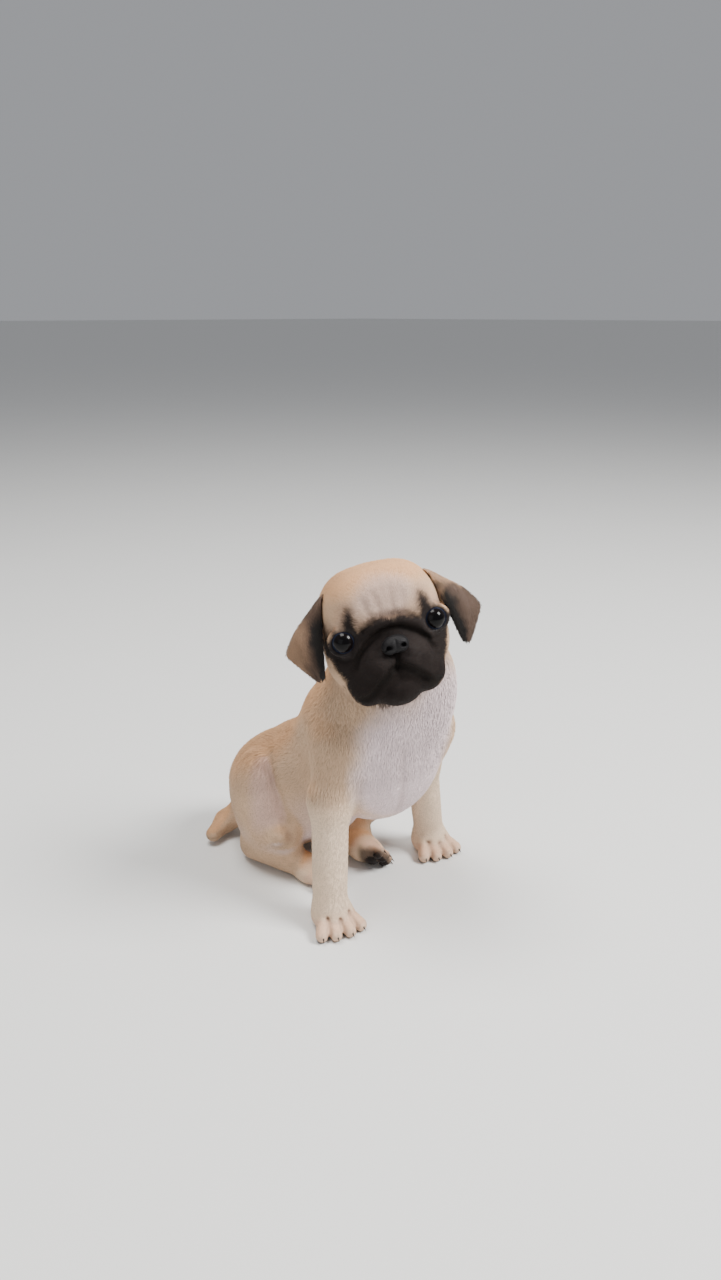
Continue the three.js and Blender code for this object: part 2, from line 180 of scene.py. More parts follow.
@dataclass(frozen=True)
class Grain:
    """Smooth noise in space from -1 to 1, the same on every run."""

    size: float
    seed: int = SEED

    def at(self, points: np.ndarray) -> np.ndarray:
        """The noise at each point."""
        table = np.random.default_rng(self.seed).uniform(-1, 1, (32, 32, 32)).astype(np.float32)
        cells = points / self.size
        low = np.floor(cells).astype(int)
        share = cells - low
        share = share * share * (3 - 2 * share)
        total = np.zeros(len(points), np.float32)
        for corner in np.ndindex(2, 2, 2):
            weight = np.prod(np.where(corner, share, 1 - share), axis=1)
            total += weight * table[tuple(((low + corner) % 32).T)]
        return total


# The puppy's forms, by the same names and sizes as its solids.

FACE = Place((-19.8, -62.1, 188.1), -37, -12, -12.2)


class Side(Enum):
    """The puppy's own two sides, as the sign of X."""

    RIGHT = -1
    LEFT = 1

    @property
    def word(self) -> str:
        """Its name in the model's nodes."""
        return self.name.lower()


@dataclass(frozen=True)
class Foreleg:
    """One foreleg from the shoulder down."""

    shoulder: Vec
    elbow: Vec
    wrist: Vec
    radii: tuple[float, float]
    heading: float

    def shape(self) -> Field:
        """The leg's field."""
        upper = limb(self.shoulder, self.elbow, 16, self.radii[0])
        return melt(10, upper, limb(self.elbow, self.wrist, *self.radii))

    def paw_place(self) -> Place:
        """The paw's frame, whose toes point to -Y."""
        return Place((self.wrist[0], self.wrist[1] - 3.4, -1.0), self.heading)


@dataclass(frozen=True)
class Hindleg:
    """One folded hind leg."""

    thigh: Vec
    radii: Vec
    turn: Vec
    knee: Vec
    hock: Vec
    foot: Vec
    heading: float
    roll: float

    def thigh_shape(self) -> Field:
        """The thigh's field."""
        return ball(self.thigh, self.radii, self.turn)

    def shank_shape(self) -> Field:
        """The field of the shank and the foot behind the paw."""
        ankle = tuple(self.paw_place().out(np.float32([[0, 8, 8]]))[0])
        fold = tuple((a + b + c) / 3 for a, b, c in zip(self.knee, self.hock, ankle))
        upper = limb(self.knee, self.hock, 11.5, 9.5)
        return melt(8, upper, limb(self.hock, ankle, 9.5, 8.5), ball(fold, (9, 17, 12)))

    def paw_place(self) -> Place:
        """The paw's frame, whose toes point to -Y."""
        return Place(self.foot, self.heading, 0.0, self.roll)


@dataclass(frozen=True)
class Paw:
    """A paw in its own frame, with four toes fanned out in front of a broad pad."""

    scale: float
    toes: tuple[float, ...] = (-1.0, -0.36, 0.36, 1.0)

    def tip(self, share: float) -> Vec:
        """Middle of a toe's end."""
        s = self.scale
        return (share * 11.8 * s, (-13.2 + 2.8 * share * share) * s, 4.8 * s)

    def knuckle(self, share: float) -> Vec:
        """Middle of a toe's root."""
        s = self.scale
        return (share * 7.5 * s, -3 * s, 8.4 * s)

    def shape(self) -> Field:
        """The paw's field."""
        s = self.scale
        body = ball((0, 2 * s, 7.5 * s), (13 * s, 13 * s, 9.5 * s))
        toes = (limb(self.knuckle(t), self.tip(t), 4.6 * s, 4.4 * s) for t in self.toes)
        return melt(2, body, *toes)

    def gaps(self) -> list["Crease"]:
        """The grooves between the toes, over the top and down the front."""
        lines = []
        for share in (-0.68, 0.0, 0.68):
            front = -14.6 + 2.6 * share * share
            spots = (
                (share * 8.4, -3.5, 13.2),
                (share * 11, -9, 10.6),
                (share * 12.2, front, 6.2),
                (share * 12.4, front + 1, 1.2),
            )
            line = tuple(tuple(v * self.scale for v in spot) for spot in spots)
            lines.append(Crease(line, 1.4, 1.1 * self.scale))
        return lines

    def pads(self) -> Field:
        """The field of the soft pads under the toes and the middle of the paw."""
        s = self.scale
        small = (
            ball((t * 11.6 * s, (-11.2 + 2.4 * t * t) * s, 1.2 * s), (3.1 * s, 3.6 * s, 2.2 * s))
            for t in self.toes
        )
        return melt(1, ball((0, -1.5 * s, 0.2 * s), (7 * s, 5.2 * s, 3 * s)), *small)


@dataclass(frozen=True)
class Forms:
    """All forms of the puppy as distance fields."""

    forelegs: tuple[Foreleg, Foreleg] = (
        Foreleg((-22, -30, 110), (-31.5, -27.5, 76), (-40.5, -36, 17), (11.8, 11), -20),
        Foreleg((38, -42, 106), (47.5, -29, 74), (62.5, -24, 16), (11.4, 10.4), -18),
    )
    hindlegs: tuple[Hindleg, Hindleg] = (
        Hindleg(
            thigh=(-27, 42, 44),
            radii=(18, 23, 38),
            turn=(4, -6, 0),
            knee=(-28, 20, 30),
            hock=(-27, 50, 10.5),
            foot=(-17, 2, -0.5),
            heading=12,
            roll=0,
        ),
        Hindleg(
            thigh=(30, 34, 45),
            radii=(18, 26, 35),
            turn=(-20, 14, 0),
            knee=(39, 9, 29),
            hock=(19, 34, 11),
            foot=(16, -13, 6.5),
            heading=26,
            roll=50,
        ),
    )
    forepaw: Paw = Paw(1.03)
    hindpaw: Paw = Paw(0.85)
    tail_line: tuple[Vec, Vec, Vec] = ((-12, 82, 18), (-24, 88, 10), (-38, 84, 7))

    def trunk(self) -> Field:
        """Rump, belly, chest and neck."""
        return melt(
            20,
            ball((-3.5, 53, 40), (30.5, 37, 41), (14, 0, 0)),
            ball((2, 24, 58), (30, 36, 39), (10, -30, 0)),
            ball((8, -14, 91), (34, 33, 42), (-10, -25, 0)),
            ball((12, -34, 97), (34, 27, 38), (-18, 0, 0)),
            ball((9, -34, 126), (31, 27, 30), (-20, 0, 0)),
            ball((20, -50, 143), (21, 21, 30)),
            limb((-6, -20, 121), (-1, -37, 158), 24, 24),
            limb((0, 17, 76), (-3, -13, 112), 24, 21),
        )

    def tail(self) -> Field:
        """The short tail, curled to the right along the floor."""
        base, bend, tip = self.tail_line
        return melt(5, limb(base, bend, 9.5, 7.5), limb(bend, tip, 7.5, 5.5))

    def head_half(self) -> Field:
        """The head's left half in the face's frame; the right half is its mirror image."""
        skull = melt(
            9,
            ball((0, 29, 3), (33, 36, 32)),
            ball((15, 22, 10), (17, 26, 22)),
            ball((0, 8, 12), (24, 14, 21)),
            ball((19.6, 16, -12), (14.8, 20, 18)),
            ball((0, 14, -24), (23, 22, 15)),
        )
        muzzle = melt(
            4,
            ball((0, 2, -13), (20, 12, 14)),
            ball((9, -4.5, -17), (11, 10.5, 10.5)),
            ball((0, -2, -31.5), (12.5, 11, 9.5)),
            ball((15.5, 1, -26.2), (11, 11.5, 11.4)),
        )
        return melt(5, skull, muzzle, ball((20, 2, 9.5), (9, 6.5, 4.5), (0, 0, 24)))

    def head(self) -> Field:
        """The whole head."""
        return mirrored(self.head_half())

    def paws(self) -> list[tuple[Place, Paw]]:
        """Each paw with its frame: two in front, then two behind."""
        front = [(leg.paw_place(), self.forepaw) for leg in self.forelegs]
        return front + [(leg.paw_place(), self.hindpaw) for leg in self.hindlegs]

    def flesh(self) -> Field:
        """The whole body, as its solids have it."""
        return melt(
            7,
            melt(12, self.trunk(), self.tail(), *(leg.shape() for leg in self.forelegs)),
            *(melt(9, leg.thigh_shape(), leg.shank_shape()) for leg in self.hindlegs),
            *(placed(place, paw.shape()) for place, paw in self.paws()),
            self.head(),
        )


def folded(points: np.ndarray) -> np.ndarray:
    """Points of the model in the face's frame, with the right half folded onto the left."""
    local = FACE.into(points)
    local[:, 0] = np.abs(local[:, 0] - LEAN * np.minimum(local[:, 2], 0))
    return local


def mirrored(shape: Field) -> Field:
    """A field drawn for the face's left half, seen from the model on both halves."""
    return lambda points: shape(folded(points))


# Closed surfaces from fields.


def graded(low: float, high: float, cell: float, fine: Sequence[tuple[float, float, float]]) -> np.ndarray:
    """Grid lines from low to high.

    Args:
        low: The first line.
        high: Where the lines may end.
        cell: The usual distance between two lines.
        fine: Stretches with closer lines, each as its start, end and distance.

    Returns:
        The places of the lines.
    """
    lines = [low]
    while lines[-1] < high:
        steps = [gap for start, end, gap in fine if start <= lines[-1] < end]
        lines.append(lines[-1] + (steps[0] if steps else cell))
    return np.array(lines, np.float32)


def values_of(shape: Field, points: np.ndarray) -> np.ndarray:
    """A field at many points, worked out in runs that fit the processor's cache."""
    return np.concatenate([shape(run) for run in np.array_split(points, len(points) // 60000 + 1)])


def slope_of(shape: Field, points: np.ndarray, reach: float = 0.08) -> np.ndarray:
    """The field's slope at each point."""
    sides = []
    for axis in range(3):
        offset = np.zeros(3, np.float32)
        offset[axis] = reach
        sides.append(values_of(shape, points + offset) - values_of(shape, points - offset))
    return np.stack(sides, 1) / (2 * reach)


def surface_of(shape: Field, axes: Sequence[np.ndarray], rounds: int = 2) -> tuple[np.ndarray, np.ndarray]:
    """The closed surface where a field is zero.

    Args:
        shape: The field.
        axes: Grid lines along X, Y and Z.
        rounds: How often each vertex is slid onto the surface.

    Returns:
        The vertices, and the faces as four vertex numbers each, wound outward.
    """
    counts = [len(line) for line in axes]
    grid = np.stack(np.meshgrid(*axes, indexing="ij"), -1).reshape(-1, 3)
    values = values_of(shape, grid).reshape(counts)
    values[values == 0] = 1e-6
    inside = values < 0
    cells = [count - 1 for count in counts]
    corners = np.zeros(cells, np.int8)
    for corner in np.ndindex(2, 2, 2):
        corners += inside[tuple(slice(c, c + n) for c, n in zip(corner, cells))]
    active = np.argwhere((corners > 0) & (corners < 8))
    total = np.zeros((len(active), 3), np.float32)
    crossings = np.zeros(len(active), np.float32)
    for axis in range(3):
        for back, down in np.ndindex(2, 2):
            start = active.copy()
            start[:, (axis + 1) % 3] += back
            start[:, (axis + 2) % 3] += down
            end = start.copy()
            end[:, axis] += 1
            a, b = values[tuple(start.T)], values[tuple(end.T)]
            crossed = (a < 0) != (b < 0)
            share = np.where(crossed, a / np.where(crossed, a - b, 1), 0)[:, None]
            first = np.stack([axes[i][start[:, i]] for i in range(3)], 1)
            last = np.stack([axes[i][end[:, i]] for i in range(3)], 1)
            total += np.where(crossed[:, None], first + (last - first) * share, 0)
            crossings += crossed
    points = total / crossings[:, None]
    for _ in range(rounds):
        slope = slope_of(shape, points)
        off = np.clip(values_of(shape, points), -0.6, 0.6)
        points = points - slope * (off / np.maximum((slope * slope).sum(1), 0.2))[:, None]
    number = np.full(cells, -1, np.int64)
    number[tuple(active.T)] = np.arange(len(active))
    faces = []
    for axis in range(3):
        ahead = np.roll(inside, -1, axis)
        crossed = np.argwhere(inside != ahead)
        inner = ((crossed > 0) & (crossed < np.array(counts) - 1)).all(1)
        crossed = crossed[inner]
        ring = []
        for back, down in ((1, 1), (0, 1), (0, 0), (1, 0)):
            cell = crossed.copy()
            cell[:, (axis + 1) % 3] -= back
            cell[:, (axis + 2) % 3] -= down
            ring.append(number[tuple(cell.T)])
        quads = np.stack(ring, 1)
        outward = inside[tuple(crossed.T)]
        faces.append(np.where(outward[:, None], quads, quads[:, ::-1]))
    return points, np.concatenate(faces)


# Blender meshes.


class Bench:
    """Turns millimetres of the drawing into metres of the row, and arrays into objects."""

    def __init__(self) -> None:
        """Finds the drawing's place in the row from the two eyes."""
        boxes = [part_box(f"eye_{side.word}") for side in Side]
        middle = np.array([(low + high) / 2 for low, high in boxes]).mean(0) * 1000
        self.shift = FACE.out(np.array([EYE_MIDDLE]))[0] - middle.astype(np.float32)

    def metres(self, points: np.ndarray) -> np.ndarray:
        """Points in metres in the row."""
        return ((points - self.shift) / 1000).astype(np.float32)

    def piece(
        self,
        name: str,
        points: np.ndarray,
        faces: np.ndarray,
        marks: dict[str, np.ndarray] | None = None,
    ) -> bpy.types.Object:
        """Makes a smooth mesh object that rides on the model.

        Args:
            name: Name of the piece.
            points: Vertices in millimetres.
            faces: Vertex numbers, with as many in each row as a face has corners.
            marks: Values stored on the vertices, by name.

        Returns:
            The new object.
        """
        mesh = bpy.data.meshes.new(name)
        rows, corners = faces.shape
        mesh.vertices.add(len(points))
        mesh.vertices.foreach_set("co", self.metres(points).ravel())
        mesh.loops.add(rows * corners)
        mesh.loops.foreach_set("vertex_index", faces.astype(np.int32).ravel())
        mesh.polygons.add(rows)
        mesh.polygons.foreach_set("loop_start", np.arange(0, rows * corners, corners, dtype=np.int32))
        mesh.update(calc_edges=True)
        mesh.polygons.foreach_set("use_smooth", np.ones(rows, bool))
        for mark, values in (marks or {}).items():
            layer = mesh.attributes.new(mark, "FLOAT", "POINT")
            layer.data.foreach_set("value", values.astype(np.float32))
        obj = bpy.data.objects.new(name, mesh)
        bpy.context.scene.collection.objects.link(obj)
        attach(obj, "root")
        LOG.info("%s: %d vertices, %d faces", name, len(points), rows)
        return obj


def unwrap(obj: bpy.types.Object, name: str = "OFBake") -> np.ndarray:
    """Unwraps a mesh by its own shape.

    Args:
        obj: The piece.
        name: Name of the UV map.

    Returns:
        The UV place of each face corner.
    """
    obj.data.uv_layers.new(name=name)
    for other in bpy.context.selected_objects:
        other.select_set(False)
    bpy.context.view_layer.objects.active = obj
    obj.select_set(True)
    bpy.ops.object.mode_set(mode="EDIT")
    bpy.ops.mesh.select_all(action="SELECT")
    bpy.ops.uv.smart_project(angle_limit=math.radians(70), island_margin=0.002)
    bpy.ops.object.mode_set(mode="OBJECT")
    obj.select_set(False)
    places = np.zeros(len(obj.data.loops) * 2, np.float32)
    obj.data.uv_layers[name].data.foreach_get("uv", places)
    return places.reshape(-1, 2)


# Materials.


class Value:
    """A number socket that takes part in Python expressions."""

    def __init__(self, surface: "Surface", socket: bpy.types.NodeSocket) -> None:
        """Wraps a socket of a surface's nodes."""
        self.surface = surface
        self.socket = socket

    def maths(self, operation: str, *terms: "Value | float") -> "Value":
        """A Math node's answer for this value and others."""
        inputs = dict(enumerate([self, *terms]))
        node = self.surface.node("ShaderNodeMath", {"operation": operation}, inputs)
        return Value(self.surface, node.outputs[0])

    def __add__(self, other: "Value | float") -> "Value":
        """Sum."""
        return self.maths("ADD", other)

    __radd__ = __add__

    def __mul__(self, other: "Value | float") -> "Value":
        """Product."""
        return self.maths("MULTIPLY", other)

    __rmul__ = __mul__

    def __sub__(self, other: "Value | float") -> "Value":
        """Difference."""
        return self.maths("SUBTRACT", other)

    def __rsub__(self, other: float) -> "Value":
        """Difference from a number."""
        return self * -1 + other

    def clamped(self) -> "Value":
        """The value kept between 0 and 1."""
        return self.maths("MINIMUM", 1.0).maths("MAXIMUM", 0.0)


class Surface:
    """A material's nodes."""

    def __init__(self, name: str) -> None:
        """Starts an empty material with its output."""
        self.material = bpy.data.materials.new(name)
        self.material.use_nodes = True
        self.tree = self.material.node_tree
        self.tree.nodes.clear()

    def node(self, kind: str, settings: dict | None = None, inputs: dict | None = None) -> bpy.types.Node:
        """Adds a node.

        Args:
            kind: The node's type.
            settings: Its properties, such as an operation or a ramp's stops.
            inputs: Values or links of its sockets, by name or number.

        Returns:
            The node.
        """
        made = self.tree.nodes.new(kind)
        for key, value in (settings or {}).items():
            if key == "stops":
                ramp = made.color_ramp
                ramp.elements[1].position, ramp.elements[1].color = value[-1]
                ramp.elements[0].position, ramp.elements[0].color = value[0]
                for place, colour in value[1:-1]:
                    ramp.elements.new(place).color = colour
            else:
                setattr(made, key, value)
        for key, value in (inputs or {}).items():
            socket = made.inputs[key]
            if isinstance(value, Value):
                self.tree.links.new(value.socket, socket)
            elif isinstance(value, bpy.types.NodeSocket):
                self.tree.links.new(value, socket)
            else:
                socket.default_value = value
        return made

    def mark(self, name: str) -> Value:
        """A value stored on the mesh."""
        node = self.node("ShaderNodeAttribute", {"attribute_name": name})
        return Value(self, node.outputs["Fac"])

    def grain(self, scale: float, detail: float = 2.0, stretch: Vec = (1.0, 1.0, 1.0)) -> Value:
        """Noise from 0 to 1 over the surface."""
        place = self.node("ShaderNodeTexCoord").outputs["Object"]
        mapped = self.node("ShaderNodeMapping", None, {"Vector": place, "Scale": stretch}).outputs[0]
        inputs = {"Vector": mapped, "Scale": scale, "Detail": detail}
        return Value(self, self.node("ShaderNodeTexNoise", None, inputs).outputs[0])

    def blend(self, share: Value | float, first: object, second: object) -> bpy.types.NodeSocket:
        """A colour between two others."""
        inputs = {0: share, 6: rgba(first), 7: rgba(second)}
        return self.node("ShaderNodeMix", {"data_type": "RGBA"}, inputs).outputs[2]

    def bump(self, height: Value, strength: float, distance: float) -> bpy.types.NodeSocket:
        """A bumped normal."""
        inputs = {"Height": height, "Strength": strength, "Distance": distance}
        return self.node("ShaderNodeBump", None, inputs).outputs["Normal"]

    def close(self, **sockets: object) -> bpy.types.Material:
        """Joins the shader to the output.

        Args:
            **sockets: The shader's sockets by name, with _ for a space.

        Returns:
            The material.
        """
        inputs = {key.replace("_", " "): value for key, value in sockets.items()}
        shader = self.node("ShaderNodeBsdfPrincipled", None, inputs)
        self.node("ShaderNodeOutputMaterial", None, {"Surface": shader.outputs[0]})
        return self.material


def rgba(colour: object) -> object:
    """A colour with an opacity, or a socket as it is."""
    return (*colour, 1.0) if isinstance(colour, tuple) and len(colour) == 3 else colour


def srgb(red: int, green: int, blue: int) -> Colour:
    """A colour from its usual 0 to 255 numbers."""
    shares = (value / 255 for value in (red, green, blue))
    return tuple(v / 12.92 if v <= 0.04045 else ((v + 0.055) / 1.055) ** 2.4 for v in shares)


@dataclass(frozen=True)
class CoatFinish:
    """Fawn fur with a black mask, painted shade in the creases and a painted highlight on the thigh, for the
    skin and for the tufts over it.
    """

    fawn: Colour = srgb(214, 180, 148)
    apricot: Colour = srgb(224, 170, 122)
    cream: Colour = srgb(238, 214, 188)
    lilac: Colour = srgb(236, 216, 218)
    ashen: Colour = srgb(150, 126, 116)
    black: Colour = srgb(34, 30, 30)
    pad: Colour = srgb(26, 20, 19)
    blush: Colour = srgb(214, 160, 140)
    shadow: Colour = srgb(122, 96, 82)
    cleft_shade: Colour = (0.0012, 0.001, 0.001)
    depth: Colour = (0.05, 0.03, 0.02)

    def colour(self, surface: Surface) -> bpy.types.NodeSocket:
        """The markings, with painted shade and a painted highlight, blended from the values stored on the
        mesh.
        """
        base = surface.blend(surface.mark("apricot"), self.fawn, self.apricot)
        base = surface.blend(surface.mark("cream"), base, self.cream)
        # Pale chest, belly, forehead haze and pink toes, and also a painted highlight on the front of the
        # thigh
        base = surface.blend(surface.mark("lilac"), base, self.lilac)
        base = surface.blend(surface.mark("blush"), base, self.blush)
        base = surface.blend(surface.mark("ashen"), base, self.ashen)
        # Painted shade: darker in the creases, between the toes, on the lower muzzle, under the chin and
        # between the thigh and the foreleg
        base = surface.blend(surface.mark("furrow") * 0.7, base, self.shadow)
        base = surface.blend(surface.mark("black"), base, self.black)
        # Near-black painted shade deep in the creases of the black mask
        base = surface.blend(surface.mark("furrow") * surface.mark("black") * 0.95, base, self.cleft_shade)
        return surface.blend(surface.mark("pad"), base, self.pad)

    def skin(self) -> bpy.types.Material:
        """The skin with the shortest fur as fine relief."""
        surface = Surface("skin")
        mottle = surface.grain(190.0, 3.0)
        colour = self.colour(surface)
        deeper = surface.blend(0.35, colour, self.depth)
        colour = surface.blend((mottle * 0.5 - 0.1).clamped(), colour, deeper)
        fuzz = surface.grain(1500.0, 2.0) + surface.grain(620.0, 3.0) * 0.8
        smooth = surface.mark("pad")
        normal = surface.bump(fuzz * (1 - smooth * 0.5), 0.55, 0.0005)
        rough = 0.68 - surface.mark("wet") * 0.34 - smooth * 0.12
        return surface.close(Base_Color=colour, Roughness=rough, Normal=normal, Specular_IOR_Level=0.15)

    def tufts(self) -> bpy.types.Material:
        """The tufts, a little deeper in colour at the root and paler at the tip."""
        surface = Surface("coat")
        colour = self.colour(surface)
        tone = surface.mark("tone")
        root = surface.blend(0.40, colour, self.depth)
        pale = surface.blend(0.06, colour, (1.0, 0.96, 0.9))
        colour = surface.blend(surface.mark("tip"), root, colour)
        colour = surface.blend((tone * 0.55 * (1 - surface.mark("black"))).clamped(), colour, pale)
        rough = 0.64 + surface.mark("black") * 0.14 + tone * 0.06
        return surface.close(Base_Color=colour, Roughness=rough, Specular_IOR_Level=0.12)


@dataclass(frozen=True)
class EarFinish:
    """Dark velvet on the ears, tan where an ear leaves the head."""

    brown: Colour = srgb(98, 76, 62)
    dark: Colour = srgb(18, 14, 12)
    tan: Colour = srgb(200, 160, 126)

    def dress(self, name: str, tufted: bool) -> bpy.types.Material:
        """The velvet for an ear's leaf or for the tufts on it."""
        surface = Surface(name)
        constant = {"Specular_IOR_Level": 0.3, "Sheen_Weight": 0.12}
        colour = surface.blend(surface.mark("dark"), self.brown, self.dark)
        colour = surface.blend(surface.mark("tan"), colour, self.tan)
        if tufted:
            root = surface.blend(0.35, colour, (0.02, 0.015, 0.01))
            colour = surface.blend(surface.mark("tip"), root, colour)
            rough = 0.6 + surface.mark("tone") * 0.08
            return surface.close(Base_Color=colour, Roughness=rough, **constant)
        mottle = surface.grain(300.0, 3.0)
        colour = surface.blend((mottle * 0.4).clamped(), colour, self.dark)
        normal = surface.bump(surface.grain(1500.0, 2.0), 0.5, 0.0004)
        return surface.close(Base_Color=colour, Roughness=mottle * 0.15 + 0.55, Normal=normal, **constant)


@dataclass(frozen=True)
class EyeFinish:
    """A wet dark eye: black pupil, deep brown iris and a thin blue-grey rim, a painted reflection of the
    sky.
    """

    pupil: Colour = srgb(6, 5, 6)
    iris: Colour = srgb(15, 11, 11)
    # Painted reflection: the blue-grey rim stands in for the sky mirrored in the wet eye
    rim: Colour = srgb(30, 35, 50)
    white: Colour = srgb(30, 24, 22)

    def dress(self) -> bpy.types.Material:
        """The eye's material, from each vertex's distance to the eye's axis."""
        surface = Surface("eye")
        away = surface.mark("away") * 0.125
        streaks = surface.grain(900.0, 3.0)
        stops = [
            (0.0, rgba(self.pupil)),
            (0.34, rgba(self.pupil)),
            (0.42, rgba(self.iris)),
            (0.6, rgba(self.iris)),
            (0.68, rgba(self.rim)),
            (0.73, rgba(self.rim)),
            (0.8, rgba(self.white)),
        ]
        ramp = surface.node("ShaderNodeValToRGB", {"stops": stops}, {"Fac": away})
        colour = surface.blend((streaks * 0.3).clamped(), ramp.outputs[0], self.pupil)
        return surface.close(
            Base_Color=colour,
            Roughness=streaks * 0.04 + 0.08,
            Specular_IOR_Level=0.05,
            Coat_Weight=0.16,
            Coat_Roughness=0.02,
        )


@dataclass(frozen=True)
class NoseFinish:
    """Damp, finely pebbled nose leather, with painted shade inside the nostrils."""

    leather: Colour = srgb(15, 14, 15)
    pit: Colour = srgb(9, 8, 9)

    def dress(self) -> bpy.types.Material:
        """The nose's material."""
        surface = Surface("nose_leather")
        place = surface.node("ShaderNodeTexCoord").outputs["Object"]
        cells = surface.node("ShaderNodeTexVoronoi", None, {"Vector": place, "Scale": 1500.0})
        pebble = Value(surface, cells.outputs["Distance"])
        colour = surface.blend(surface.mark("pit"), self.leather, self.pit)
        colour = surface.blend((pebble * 0.5).clamped(), colour, srgb(27, 25, 28))
        normal = surface.bump(pebble * -1 + surface.grain(700.0, 2.0) * 0.6, 0.5, 0.0003)
        rough = 0.46 + pebble * 0.2 + surface.mark("pit") * 0.3
        return surface.close(Base_Color=colour, Roughness=rough, Normal=normal, Specular_IOR_Level=0.18)


@dataclass(frozen=True)
class ClawFinish:
    """Dark horn, a little paler towards the root."""

    horn: Colour = srgb(38, 30, 27)
    root: Colour = srgb(112, 92, 82)

    def dress(self) -> bpy.types.Material:
        """The claws' material."""
        surface = Surface("claw")
        grain = surface.grain(1200.0, 2.0, (1.0, 1.0, 0.2))
        colour = surface.blend((1 - surface.mark("reach") * 3.0).clamped(), self.horn, self.root)
        normal = surface.bump(grain, 0.3, 0.0002)
        rough = 0.32 + grain * 0.1
        return surface.close(Base_Color=colour, Roughness=rough, Normal=normal, Coat_Weight=0.2)


@dataclass(frozen=True)
class FloorFinish:
    """Pale studio floor."""

    pale: Colour = srgb(226, 226, 224)

    def dress(self) -> bpy.types.Material:
        """The floor's material."""
        surface = Surface("floor")
        grain = surface.grain(9.0, 2.0)
        colour = surface.blend((grain * 0.2).clamped(), self.pale, srgb(214, 214, 212))
        return surface.close(Base_Color=colour, Roughness=0.8)


# Relief and markings shared by the skin and the coat.


@dataclass(frozen=True)
class Crease:
    """A soft groove, or a ridge where its depth is below zero, along a line near the surface."""

    line: tuple[Vec, ...]
    depth: float
    width: float

    def lift(self, points: np.ndarray) -> np.ndarray:
        """How far each point's distance grows."""
        nearest = np.full(len(points), 1e3, np.float32)
        for start, end in zip(self.line, self.line[1:]):
            nearest = np.minimum(nearest, limb(start, end, 0.0)(points))
        return self.depth * np.exp(-((nearest / self.width) ** 2))


@dataclass(frozen=True)
class FaceRelief:
    """Furrows and folds of the face, drawn as places across and up on its left half."""

    nose_roll_under: tuple = ((0, 2.0), (5, 1.4), (10, -1.4), (14.5, -4.2), (18.5, -8.6), (21, -14))
    nose_roll: tuple = ((0, 5.2), (6, 4.8), (12, 2.2), (16, -1.2), (20.4, -8.5))
    nose_roll_over: tuple = ((0, 8.8), (5, 8.6), (10, 6.6), (14.6, 3.2))
    brow_line: tuple = ((3.2, 10), (3.6, 15), (4.6, 21))
    brow_side: tuple = ((9.0, 9.5), (10.2, 14), (10.6, 18))
    under_eye: tuple = ((17.6, -6.5), (21, -9.6), (26, -10.2), (30.5, -7.5))
    philtrum: tuple = ((0, -9.5), (0, -13), (0, -17.6))
    mouth: tuple = ((0, -17.6), (4, -19), (9, -23), (13.5, -28), (17.5, -31), (22, -32))
    lip: tuple = ((2.8, -15.4), (7.6, -18.4), (12.2, -22.8), (16.6, -27))

    def creases(self, forms: Forms) -> list[Crease]:
        """Each line laid onto the head, with its depth and width."""
        kinds = (
            (self.nose_roll_under, 2.6, 1.25),
            (self.nose_roll, -2.0, 2.4),
            (self.nose_roll_over, 1.5, 1.3),
            (self.brow_line, 0.5, 1.5),
            (self.brow_side, 0.5, 1.7),
            (self.under_eye, 1.2, 1.1),
            (self.philtrum, 2.2, 1.1),
            (self.mouth, 3.8, 1.6),
            (self.lip, -1.3, 2.3),
        )
        half = forms.head_half()
        lines = [tuple(on_head(half, x, z) for x, z in line) for line, _, _ in kinds]
        return [Crease(line, deep, wide) for line, (_, deep, wide) in zip(lines, kinds)]


def settled(shape: Field, line: Iterable[Vec]) -> tuple[Vec, ...]:
    """A line of places, slid onto a field's surface."""
    points = np.float32(list(line))
    for _ in range(6):
        slope = slope_of(shape, points)
        points = points - slope * (shape(points) / np.maximum((slope * slope).sum(1), 0.2))[:, None]
    return tuple(tuple(float(v) for v in point) for point in points)


def on_head(half: Field, across: float, up: float) -> Vec:
    """The point of the head's surface seen from the front at a place across and up."""
    deep = -40.0
    for _ in range(60):
        deep += 0.8 * float(half(np.float32([[abs(across), deep, up]]))[0])
    return (across, deep, up)


